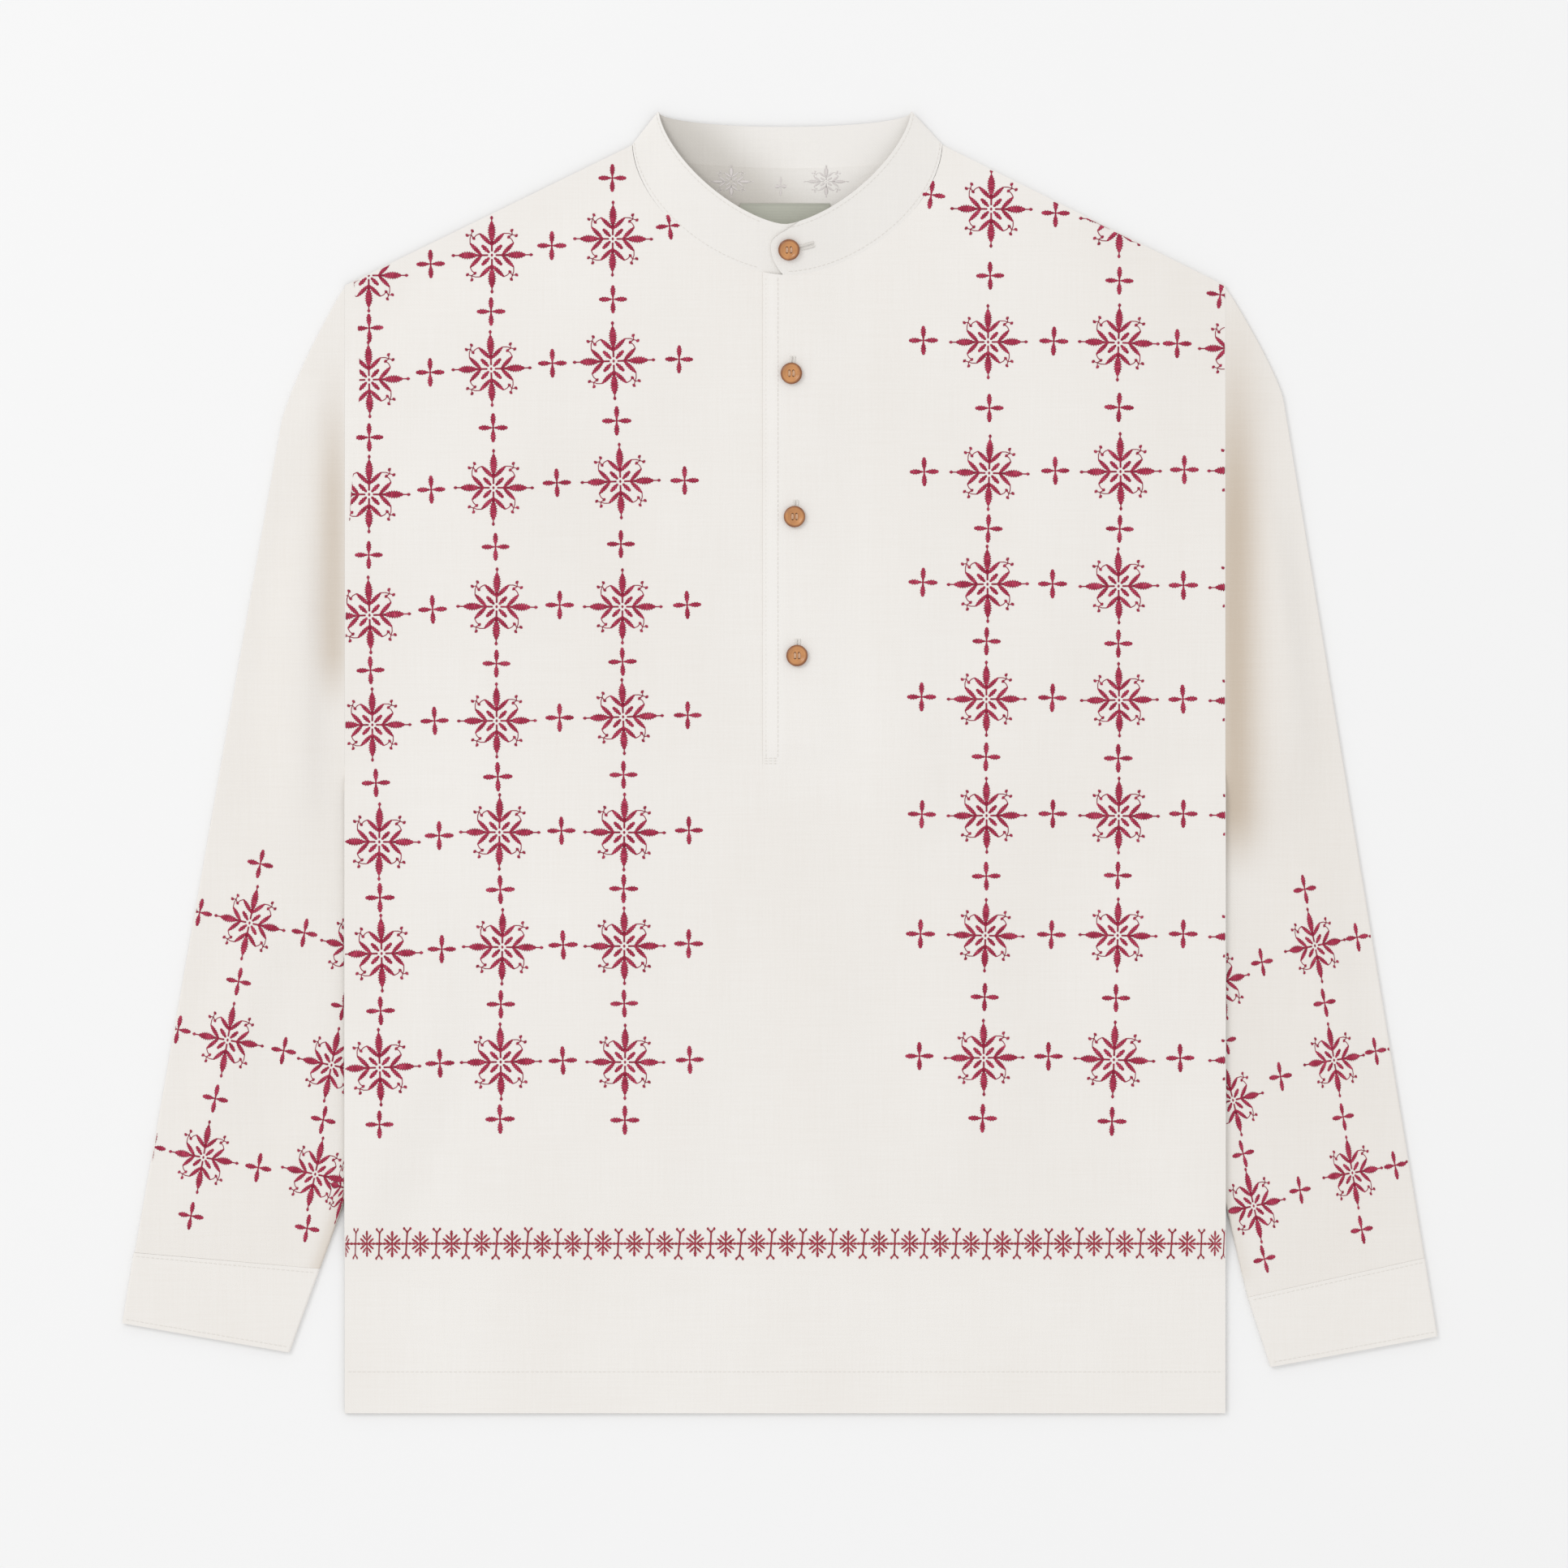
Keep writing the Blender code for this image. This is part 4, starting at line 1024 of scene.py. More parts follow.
def make_placket_strip(look):
    """Strip sewn to the slit's left side, below the side that laps over."""
    rows, columns = STRIP_GRID
    top_x, neck_y = neckline(np.linspace(neck_angle_at(SLIT_X), neck_angle_at(STRIP_OUTER_X), columns))
    top_x[0] = SLIT_X + CLOTH_SPACE
    share = np.linspace(0.0, 1.0, rows)[:, None]
    y = neck_y + (SLIT_END_Y + LAP_FADE_Y + STRIP_FOOT_SPACE - neck_y) * share
    x = np.repeat(top_x[None, :], rows, axis=0)
    under = front_height(x, y)
    piece = add_cloth("placket_strip_cloth", "placket_under", flat_sheet(x, y, under, CLOTH),
                      linen_finish("linen_strip", look), lambda x, y: np.zeros(x.shape))
    return piece, surface_area(np.dstack([x, y, under]))


def label_edge(x, y):
    """One at the label's top and right edge and 0 inside."""
    return rise(np.minimum(LABEL_TOP_Y - y, LABEL_RIGHT - x), LABEL_RIM, -LABEL_RIM)


def make_label(look):
    """Bare neck label, whose sides curl up a little."""
    rows, columns = LABEL_GRID
    x, y = np.meshgrid(np.linspace(LABEL_LEFT, LABEL_RIGHT, columns),
                       np.linspace(LABEL_TOP_Y, LABEL_FOOT_Y, rows))
    curl = rise(x, LABEL_RIGHT - LABEL_CURL_REACH, LABEL_CURL_REACH)
    curl = curl + rise(x, LABEL_LEFT + LABEL_CURL_REACH, -LABEL_CURL_REACH)
    under = WALL + SEAM + LABEL_CURL * curl
    piece = add_cloth("neck_label_cloth", "neck_label", flat_sheet(x, y, under, LABEL_CLOTH),
                      label_finish("label_satin", look.label), label_edge, "edge")
    return piece, surface_area(np.dstack([x, y, under]))


# Buttons

# A button in millimetres: middles of its holes, the profile from its foot over the rim to the dish
# as radius and height, and the strands that sew it on
BUTTON_HOLES = [(-1.3, -1.5), (1.3, -1.5), (-1.3, 1.5), (1.3, 1.5)]
BUTTON_HOLE_RADIUS = 0.85
BUTTON_HOLE_SLOPE = 0.3
BUTTON_HOLE_DEPTH = 1.1
BUTTON_WALL = [(5.0, 0.0), (5.9, 0.12), (6.5, 0.5), (6.8, 0.9), (6.9, 1.3), (6.85, 1.7), (6.6, 2.15),
               (6.2, 2.45), (5.7, 2.6), (5.2, 2.58), (4.7, 2.42), (4.3, 2.2), (4.0, 2.02), (3.7, 1.93)]
BUTTON_DISH = 1.9
BUTTON_DISH_RADII = (3.5, 0.2, 15)
BUTTON_DARK_FROM = 5.0
BUTTON_DARK_RUN = 1.5
BUTTON_SEGMENTS = 64
STRAND_SIDES = (-1.3, 1.3)
STRAND_PLACES = (-0.42, 0.0, 0.42)
STRAND_REACH = 1.7
STRAND_BOW = 0.12
STRAND_ARCH = 0.42
STRAND_SINK = 0.95

# In metres: how high a button stands over the cloth, and the span over which its slope is taken
BUTTON_LIFT = SEAM + 0.1 * MM
SEAT_STEP = 6.0 * MM


def seat_on_front(x, y):
    """Point and normal of the lapped side's upper face."""
    around = front_top(x + SEAT_STEP * np.array([0, 1, -1, 0, 0]), y + SEAT_STEP * np.array([0, 0, 0, 1, -1]))
    normal = np.array([around[2] - around[1], around[4] - around[3], 2 * SEAT_STEP])
    return np.array([x, y, around[0]]), normal / np.linalg.norm(normal)


def seat_on_collar(x, up):
    """Point and normal of the collar's lapped end at x."""
    angle, up = collar_angle(np.array(x), np.array(up)), np.array(up)
    outside = band_surface(angle, up, WALL / 2)
    return outside, (outside - band_surface(angle, up, -WALL / 2)) / WALL


def button_seats():
    """Point and normal below every button, in the order of their names."""
    return [seat_on_collar(BUTTONS[0]["centre"][0], 0.5)] + [
        seat_on_front(*button["centre"]) for button in BUTTONS[1:]]


def button_axes(normal):
    """Two directions across a button, with the second towards the collar."""
    across = np.cross([0.0, 1.0, 0.0], normal)
    across /= np.linalg.norm(across)
    return across, np.cross(normal, across)


def make_button(name, seat, normal, look):
    """Turned button: a profile of radius and height goes round, and four holes sink into its dish."""
    across, ahead = button_axes(normal)
    wall, inner = np.array(BUTTON_WALL), np.linspace(*BUTTON_DISH_RADII)
    radius = np.concatenate([wall[:, 0], inner])[:, None]
    height = np.concatenate([wall[:, 1], np.full(len(inner), BUTTON_DISH)])[:, None]
    turn = math.tau * np.arange(BUTTON_SEGMENTS) / BUTTON_SEGMENTS
    u, v = radius * np.cos(turn), radius * np.sin(turn)
    sunk = sum(rise(np.hypot(u - a, v - b), BUTTON_HOLE_RADIUS, -BUTTON_HOLE_SLOPE) for a, b in BUTTON_HOLES)
    sunk = sunk * (radius <= wall[-1, 0])
    level = (height - BUTTON_HOLE_DEPTH * sunk) * MM
    scale = look.radius / wall[:, 0].max()
    foot = seat + normal * BUTTON_LIFT
    points = foot + scale * (u[..., None] * across + v[..., None] * ahead) + level[..., None] * normal
    # Painted shade in the sunk holes, and darker towards the rim
    dark = np.maximum(sunk * 2.0, rise(radius, BUTTON_DARK_FROM, BUTTON_DARK_RUN))
    points = np.vstack([points.reshape(-1, 3), [foot, foot + normal * BUTTON_DISH * MM]])
    ids = np.arange(u.size).reshape(u.shape)
    around = np.concatenate([ids, ids[:, :1]], axis=1)[::-1]
    below = np.column_stack([around[-1][1:], around[-1][:-1], np.full(BUTTON_SEGMENTS, u.size)])
    above = np.column_stack([around[0][:-1], around[0][1:], np.full(BUTTON_SEGMENTS, u.size + 1)])
    piece = add_piece(name + "_horn", (points, [grid_faces(around), below, above]),
                      horn_finish("horn_" + name, look),
                      {"rim_and_hole_shade": np.concatenate([dark.ravel(), [0.0, 0.0]])})
    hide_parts(name)


def button_threads(seat, normal):
    """Paths of the strands that run over the dish from hole to hole and down into them."""
    across, ahead = button_axes(normal)
    share = np.linspace(0.0, 1.0, 9)
    v = STRAND_REACH * (2 * share - 1)
    arch = BUTTON_DISH + STRAND_ARCH - STRAND_SINK * abs(2 * share - 1) ** 4
    paths = []
    for side in STRAND_SIDES:
        for strand in STRAND_PLACES:
            u = side + strand + STRAND_BOW * np.sin(math.pi * share + strand)
            way = u[:, None] * across + v[:, None] * ahead + arch[:, None] * normal
            paths.append(seat + normal * BUTTON_LIFT + MM * way)
    return np.stack(paths)


# Sewing

def loft(rings):
    """Closed bodies through rings: quads from ring to ring and one flat face at each end."""
    bodies, count, around = rings.shape[:3]
    ids = np.arange(bodies * count * around).reshape(bodies, count, around)
    ids = np.concatenate([ids, ids[:, :, :1]], axis=2)
    quads = np.stack([ids[:, :-1, :-1], ids[:, :-1, 1:], ids[:, 1:, 1:], ids[:, 1:, :-1]], axis=-1)
    return [quads.reshape(-1, 4), ids[:, 0, -2::-1], ids[:, -1, :-1]]


def tube_rings(paths, radius, sides=6, flat=1.0):
    """Rings square to many paths: radius along the path, pressed to a share of its height."""
    along = np.gradient(paths, axis=1)
    along /= np.linalg.norm(along, axis=2, keepdims=True)
    across = np.cross(np.array([0.0, 0.0, 1.0]), along)
    across /= np.maximum(np.linalg.norm(across, axis=2, keepdims=True), 1e-9)
    above = np.cross(along, across)
    turn = math.tau * np.arange(sides) / sides
    ring = np.cos(turn)[:, None] * across[:, :, None] + flat * np.sin(turn)[:, None] * above[:, :, None]
    radius = np.broadcast_to(radius, paths.shape[1])
    return paths[:, :, None] + radius[None, :, None, None] * ring


def gather(groups):
    """Join lofted groups of rings into one list of points and faces."""
    points, faces, count = [], [], 0
    for rings in groups:
        points.append(rings.reshape(-1, 3))
        faces += [block + count for block in loft(rings)]
        count += points[-1].shape[0]
    return np.vstack(points), faces


# Stitches of a seam: share of their pitch that they fill, thickness, taper and height over the
# cloth as shares of the radius
STITCH_SHARE = 0.72
STITCH_RADIUS = 0.17 * MM
STITCH_TAPER = np.array([0.45, 0.9, 1.0, 0.9, 0.45])
STITCH_LIFT = 0.2
STITCH_ARCH = 0.5


def stitches(path, length):
    """Cut a dense path into equal stitches of five points, with a space after each."""
    steps = np.linalg.norm(np.diff(path, axis=0), axis=1)
    run = np.concatenate([[0.0], np.cumsum(steps)])
    count = max(1, round(run[-1] / length))
    start = run[-1] * np.arange(count)[:, None] / count
    spots = start + run[-1] / count * STITCH_SHARE * np.linspace(0, 1, len(STITCH_TAPER))
    cut = np.stack([np.interp(spots, run, path[:, k]) for k in range(3)], axis=-1)
    arch = np.sin(np.linspace(0, math.pi, len(STITCH_TAPER)))
    cut[..., 2] += STITCH_RADIUS * (STITCH_LIFT + STITCH_ARCH * arch)
    return cut


def line_on(surface, start, stop, count=200):
    """Straight path between two plan points, laid on a surface."""
    share = np.linspace(0.0, 1.0, count)
    x, y = start[0] + (stop[0] - start[0]) * share, start[1] + (stop[1] - start[1]) * share
    return np.column_stack([x, y, surface(x, y)])


# Rows of stitches: distance from an edge, place beside the placket, foot of the strip and its
# cross rows below that, shares of the cuff's length and of the collar's height, and the collar's ends
HEM_STITCH = 25.0 * MM
EDGE_STITCH = 2.0 * MM
PLACKET_STITCH_X = -1.2 * MM
STRIP_FOOT_Y = 2.5 * MM
STRIP_CROSS_ROWS = (0.0, 1.6 * MM, 3.2 * MM)
CUFF_ROWS = (0.05, 0.94)
COLLAR_ROWS = (0.07, 0.93)
COLLAR_ROW_FROM_X = -14.0 * MM
COLLAR_ROW_TO_X = 2.0 * MM
COLLAR_ROW_SHORT = 0.03

# Buttonholes: pitch of the strands, where they start from the button's middle, both ends of a
# strand beside the slot, its radius and its height over the cloth
HOLE_PITCH = 0.5 * MM
HOLE_START = 4.0 * MM
HOLE_NEAR = 0.35 * MM
HOLE_FAR = 1.6 * MM
HOLE_STRAND = 0.26 * MM
HOLE_LIFT = np.array([0.25, 0.37, 0.25]) * MM
COLLAR_HOLE_LIFT = 0.3 * MM
BUTTON_STRAND = 0.24 * MM


def seam_paths():
    """Every row of seam stitches as a dense path of points on the cloth."""
    hem = HEM_Y + HEM_STITCH
    neck_y = float(neckline(np.array(neck_angle_at(PLACKET_STITCH_X)))[1]) - EDGE_STITCH
    paths = [line_on(front_top, (BODY_LEFT + EDGE_STITCH, hem), (BODY_RIGHT - EDGE_STITCH, hem), 400)]
    for x in (PLACKET_STITCH_X, SLIT_X + EDGE_STITCH):
        paths.append(line_on(front_top, (x, neck_y), (x, STRIP_FOOT_Y)))
    for row in STRIP_CROSS_ROWS:
        foot = STRIP_FOOT_Y - row
        paths.append(line_on(front_top, (SLIT_X + EDGE_STITCH / 2, foot), (PLACKET_STITCH_X, foot)))
    for sleeve in SLEEVES.values():
        outer, inner = cuff_edges(sleeve, 2)
        for share in CUFF_ROWS:
            start, stop = (edge[0] + (edge[1] - edge[0]) * share for edge in (outer, inner))
            step = (stop - start) * EDGE_STITCH / np.linalg.norm(stop - start)
            paths.append(line_on(lambda x, y: np.full(x.shape, 2 * MIDDLE + CUFF_FULL),
                                 start + step, stop - step))
    angle = np.linspace(neck_angle_at(COLLAR_ROW_FROM_X),
                        2 * math.pi + neck_angle_at(COLLAR_ROW_TO_X) - COLLAR_ROW_SHORT, 500)
    return paths + [band_surface(angle, np.full(angle.shape, up), WALL / 2) for up in COLLAR_ROWS]


def buttonhole_paths(button):
    """Strands along both sides of a buttonhole, in plan, from near the button outwards."""
    centre, way = np.array(button["centre"]), np.array(button["hole"])
    length = math.hypot(*way)
    ahead = way / length
    beside = np.array([-ahead[1], ahead[0]])
    place = np.linspace(HOLE_START, length, round(length / HOLE_PITCH))[:, None]
    rows = []
    for side in (-1.0, 1.0):
        starts = centre + place * ahead + HOLE_NEAR * side * beside
        stops = starts + (HOLE_FAR - HOLE_NEAR) * side * beside
        rows.append(np.stack([starts, (starts + stops) / 2, stops], axis=1))
    return np.concatenate(rows)


def front_hole_strands(button):
    """Strands of a buttonhole on the lapped side, in space."""
    plan = buttonhole_paths(button)
    return np.dstack([plan, front_top(plan[..., 0], plan[..., 1]) + HOLE_LIFT])


def collar_hole_strands(button):
    """Strands of the collar's buttonhole, which bends with the band."""
    plan = buttonhole_paths(button)
    seat, _ = seat_on_collar(button["centre"][0], 0.5)
    slope = button["hole"][1] / button["hole"][0]
    beside = plan[..., 1] - button["centre"][1] - slope * (plan[..., 0] - seat[0])
    up = 0.5 + beside / COLLAR_CUT
    return band_surface(collar_angle(plan[..., 0], up), up, WALL / 2 + COLLAR_HOLE_LIFT)


def make_stitching(look):
    """Seam stitches, buttonholes and the strands in the buttons."""
    groups = [tube_rings(stitches(path, look.stitch), STITCH_RADIUS * STITCH_TAPER, 6, 0.7)
              for path in seam_paths()]
    holes = [front_hole_strands(button) for button in BUTTONS[1:]] + [collar_hole_strands(BUTTONS[0])]
    groups += [tube_rings(paths, HOLE_STRAND, 5, 0.8) for paths in holes]
    sewing = thread_finish("sewing_thread", look.sewing)
    add_piece("seam_stitches", gather(groups), sewing)
    strands = gather([tube_rings(button_threads(*seat), BUTTON_STRAND, 8) for seat in button_seats()])
    add_piece("button_strands", strands, thread_finish("button_thread", look.tan_thread))


# Embroidery

# A leaf in millimetres: pitch of its stitches, places of the points across a row, and how far its
# rows narrow at the ends and between two stitches
STITCH_PITCH = 1.5
RING_PLACES = np.array([1.0, 0.55, 0.0, -0.55, -1.0])
LEAF_END_WIDTH = 0.12
LEAF_END_HEIGHT = 0.3
LEAF_FOOT = 0.05
BETWEEN_WIDTH = 0.60
BETWEEN_HEIGHT = 0.78
# How near to a crest the rows between two stitches and the laid threads count; the thread's painted shade and
# painted highlight follow from it
BETWEEN_CREST = 0.25
RUN_CREST = 0.6


def polar(radius, degrees):
    """Plan point at a radius and an angle."""
    return radius * math.cos(math.radians(degrees)), radius * math.sin(math.radians(degrees))


def satin_leaf(start, stop, width, widest=0.5, full=0.65, pitch=STITCH_PITCH, height=1.0):
    """A leaf of satin stitches laid square to its length, two rows to a stitch.

    Its half width is a power of a sine that peaks at the widest place, less between two stitches,
    and each row arches from side to side; a lower power makes a fuller leaf. Returns the rings and
    how near each row is to a crest.
    """
    start, stop = np.array(start), np.array(stop)
    length = np.linalg.norm(stop - start)
    along = (stop - start) / length
    across = np.array([-along[1], along[0]])
    rows = 2 * max(2, round(length / pitch)) + 1
    share = np.linspace(0.0, 1.0, rows)
    crest = np.arange(rows) % 2
    swell = np.sin(math.pi * share ** (math.log(0.5) / math.log(widest)))
    half = width / 2 * np.maximum(swell, LEAF_END_WIDTH) ** full
    half = half * (BETWEEN_WIDTH + (1 - BETWEEN_WIDTH) * crest)
    plan = start + share[:, None, None] * (stop - start) + (
        half[:, None] * RING_PLACES)[..., None] * across
    dome = (1 - RING_PLACES ** 2) ** 0.6 * height * np.maximum(swell, LEAF_END_HEIGHT)[:, None] ** 0.5
    level = LEAF_FOOT + dome * (BETWEEN_HEIGHT + (1 - BETWEEN_HEIGHT) * crest)[:, None]
    near = BETWEEN_CREST + (1 - BETWEEN_CREST) * crest
    return np.dstack([plan, level]), np.repeat(near[:, None], len(RING_PLACES), axis=1)


def thread_run(spots, radius):
    """A thin laid thread through plan points, as a tube with four sides."""
    spots = np.array(spots, dtype=float)
    paths = np.column_stack([spots, np.full(len(spots), radius)])[None]
    rings = tube_rings(paths, radius, 4)[0]
    return rings, np.full(rings.shape[:2], RUN_CREST)


def bud(centre, size, degrees=90.0):
    """A round knot of stitches."""
    dx, dy = polar(size / 2, degrees)
    return satin_leaf((centre[0] - dx, centre[1] - dy), (centre[0] + dx, centre[1] + dy), size,
                      pitch=0.6, height=1.15)


# Arms of a star: direction, distance of the end knot and both ends of the spindle
STAR_ARMS = [
    dict(turn=90, knot=22.2, spindle=(7.2, 20.0)),
    dict(turn=180, knot=22.9, spindle=(8.2, 19.6)),
    dict(turn=270, knot=21.8, spindle=(7.4, 19.4)),
    dict(turn=0, knot=23.3, spindle=(8.2, 20.0)),
]
SPINDLE_WIDTH = 5.3
SPRIG = 17.2


def star_motif():
    """Eight-pointed star: four spindles on stems, paired leaves, inner petals and sprigs of buds."""
    parts = [bud((0, 0), 1.8)]
    for arm in STAR_ARMS:
        turn, (near, far) = arm["turn"], arm["spindle"]
        parts.append(satin_leaf(polar(near, turn), polar(far, turn), SPINDLE_WIDTH, 0.56, 0.55))
        parts.append(thread_run([polar(r, turn) for r in (2.3, 5.0, near + 1.2)], 0.5))
        parts.append(thread_run([polar(r, turn) for r in (far - 1, arm["knot"])], 0.34))
        parts.append(bud(polar(arm["knot"], turn), 2.3, turn))
        for side in (-1, 1):
            tip, sprig = polar(14.8, turn + 29 * side), np.array(polar(SPRIG, turn + 45 * side))
            parts.append(satin_leaf(polar(6.0, turn), tip, 3.1, full=0.5))
            meets = sprig if side < 0 else sprig + polar(2.4, turn + 45 + 170)
            bend = (np.array(tip) + meets) / 2 * 1.03
            parts.append(thread_run([tip, bend, meets], 0.26))
    for turn in (45, 135, 225, 315):
        parts.append(satin_leaf(polar(2.0, turn), polar(8.5, turn), 3.0, 0.55, 0.4))
        centre = np.array(polar(SPRIG, turn))
        for around in (50, -60, 170):
            place = centre + polar(2.5, turn + around)
            parts += [bud(tuple(place), 2.2, turn), thread_run([centre, place], 0.26)]
    return parts


def cross_motif():
    """Four petals round a small knot."""
    parts = [bud((0, 0), 2.0)]
    for turn in (0, 90, 180, 270):
        parts.append(satin_leaf(polar(0.9, turn), polar(8.6, turn), 3.7, 0.58, 0.5))
    return parts


def flake_motif():
    """Upright figure of the border: a spine with full ends and four pairs of branches."""
    parts = [bud((0, 0), 2.0)]
    for up in (-1, 1):
        parts.append(satin_leaf((0, 0.3 * up), (0, 4.6 * up), 1.6, full=0.4))
        parts.append(satin_leaf((0, 3.8 * up), (0, 7.9 * up), 2.2, 0.55, 0.45))
        for side in (-1, 1):
            parts.append(satin_leaf((0.2 * side, 1.9 * up), (3.4 * side, 5.4 * up), 1.7, 0.6, 0.5))
            parts.append(satin_leaf((1.0 * side, 0.3 * up), (5.2 * side, 3.2 * up), 1.7, 0.6, 0.5))
    return parts


def bar_motif():
    """Thin upright bar between two figures, with a bud and a fork of two more at both ends."""
    parts = [thread_run([(-0.4, -6.4), (0.0, 0.0), (0.4, 6.4)], 0.48)]
    for up in (-1, 1):
        foot = (0.4 * up, 6.5 * up)
        parts.append(bud(foot, 1.9))
        for side in (-1, 1):
            tip = (0.4 * up + 1.9 * side, 8.6 * up)
            parts += [thread_run([foot, tip], 0.42), bud(tip, 1.8)]
    return parts


def lay_motif(motif, spots, top, keep, hold, height):
    """Lay a motif's parts on the cloth at every spot of x, y, turn, size and narrowing.

    A part that lies wholly off the cloth is dropped, and one that passes an edge is held at it.
    """
    x0, y0, turn, size, narrow = (column[:, None, None] for column in spots.T)
    points, faces, crests, count = [], [], [], 0
    for rings, crest in motif:
        u, v = rings[..., 0] * size * narrow * MM, rings[..., 1] * size * MM
        x = x0 + u * np.cos(turn) - v * np.sin(turn)
        y = y0 + u * np.sin(turn) + v * np.cos(turn)
        stays = keep(x, y).any(axis=(1, 2))
        if not stays.any():
            continue
        x, y = hold(x[stays], y[stays])
        bodies = np.stack([x, y, top(x, y) + rings[..., 2] * height], axis=-1)
        faces += [block + count for block in loft(bodies)]
        points.append(bodies.reshape(-1, 3))
        crests.append(np.tile(crest.ravel(), int(stays.sum())))
        count += points[-1].shape[0]
    return np.vstack(points), faces, np.concatenate(crests)


def jitter(spots, seed):
    """Small even changes of place, turn and size, as hands and cloth give."""
    chance = np.random.default_rng(seed)
    count = len(spots)
    spots = np.array(spots, dtype=float)
    spots[:, :2] += chance.uniform(-0.3, 0.3, (count, 2)) * MM
    spots[:, 2] += np.radians(chance.uniform(-1.5, 1.5, count))
    spots[:, 3] *= chance.uniform(0.97, 1.03, count)
    return spots


def column_crosses(places, above):
    """Crosses midway between the stars of a column, below the last and, if asked, above the first."""
    if len(places) == 1:
        return places[:0]
    end = (places[-1] - places[-2]) / 2
    groups = [(places[:-1] + places[1:]) / 2, [places[-1] + end]]
    return np.vstack(groups + [[places[0] - (places[1] - places[0]) / 2]] * above)


def body_spots(side):
    """Stars and crosses of one side of the front.

    A level cross stands midway between two stars of a row, and one beside each star next to the
    placket, apart from the first.
    """
    bent = math.radians(BENT_TURN[side])
    stars, crosses = [], [(x * MM, y * MM, bent, 1.0, 1.0) for x, y in BENT_CROSSES[side]]
    nearer = None
    for column in (row for row in STAR_COLUMNS if row["side"] == side):
        places = np.array(column["stars"])
        lean = math.radians((places[-1, 0] - places[0, 0]) / 9.0)
        if nearer is None:
            level = (places + (CROSS_BESIDE[side], CROSS_RISE))[1:]
        else:
            rows = min(len(places), len(nearer))
            level = (places[-rows:] + nearer[-rows:]) / 2 + (0.0, CROSS_RISE)
        nearer = places
        stars += [(x * MM, y * MM, lean, 1.0, 1.0) for x, y in places]
        upright = column_crosses(places, column["crown"])
        crosses += [(x * MM, y * MM, lean, 1.0, 1.0) for x, y in np.vstack([level, upright])]
    return stars, crosses


def sleeve_spots(side):
    """Stars and crosses of one sleeve, whose grid leans with it."""
    stars, crosses = [], []
    for column in (row for row in SLEEVE_COLUMNS if row["side"] == side):
        places = np.array(column["stars"])
        groups = [column_crosses(places, column["above"])] + [places + way for way in column["level"]]
        shape = (math.radians(column["turn"]), 1.0, column["narrow"])
        stars += [(x * MM, y * MM, *shape) for x, y in places]
        crosses += [(x * MM, y * MM, *shape) for x, y in np.vstack(groups)]
    return stars, crosses


# Cloth that turns in along the left armhole: how far, where most, and over what length
TURN_IN = 8.4 * MM
TURN_IN_Y = 235.0 * MM
TURN_IN_REACH = 78.0 * MM

# How far from an edge of the cloth a motif's part counts as on it, and where its points are held
ON_CLOTH = 1.0 * MM
ON_SLEEVE_EDGE = 1.2 * MM
HOLD_SIDE = 0.5 * MM
HOLD_BODY = 0.6 * MM
HOLD_EDGE = 0.8 * MM
HOLD_SHARE = 0.98


def squeeze(value, low, high):
    """Hold values between two limits; what passes a limit keeps a fiftieth of its way."""
    return value - HOLD_SHARE * (np.maximum(value - high, 0) - np.maximum(low - value, 0))


def sewn_from(y):
    """Left limit of the motifs on the front, which turns in with the cloth below the shoulder."""
    return BODY_LEFT + TURN_IN * np.exp(-((y - TURN_IN_Y) / TURN_IN_REACH) ** 2)


def on_front(x, y):
    """Whether points lie on the front, outside the collar."""
    across = abs(x - NECK_CENTRE) / NECK_HALF
    down = np.maximum(NECK_TOP_Y - y, 0) / NECK_FRONT_DROP
    outside = across ** NECK_POWER + down ** NECK_POWER >= 1
    inside = (x > sewn_from(y) + ON_CLOTH) & (x < BODY_RIGHT - ON_CLOTH) & (y < shoulder_y(x) - ON_CLOTH)
    return inside & outside


def hold_on_front(x, y):
    """Keep points inside the front's sides and shoulders."""
    x = squeeze(x, sewn_from(y) + HOLD_SIDE, BODY_RIGHT - HOLD_SIDE)
    return x, squeeze(y, HEM_Y, shoulder_y(x) - HOLD_EDGE)


FRONT_SURFACE = (front_top, on_front, hold_on_front)


def sleeve_surface(sleeve):
    """Upper face of a sleeve, whether points lie where it shows, and what holds them there."""
    side, body = sleeve["side"], abs(sleeve["body_x"])

    def top(x, y):
        return sleeve_top(sleeve, x, y)

    def keep(x, y):
        inside = (side * x - body > ON_CLOTH) & (side * (sleeve_outer_x(sleeve, y) - x) > ON_CLOTH)
        return inside & (side * (x - sleeve_inner_x(sleeve, y)) > ON_SLEEVE_EDGE)

    def hold(x, y):
        inner = np.maximum(body + HOLD_BODY, abs(sleeve_inner_x(sleeve, y)) + HOLD_EDGE)
        return side * squeeze(abs(x), inner, abs(sleeve_outer_x(sleeve, y)) - HOLD_EDGE), y

    return top, keep, hold


def embroider(name, motif, spots, surface, material, height):
    """Lay a motif at every spot, as one piece."""
    points, faces, crests = lay_motif(motif, spots, *surface, height)
    # The crest number sets the thread's painted shade and painted highlight
    add_piece(name, (points, faces), material, {"crest": crests})


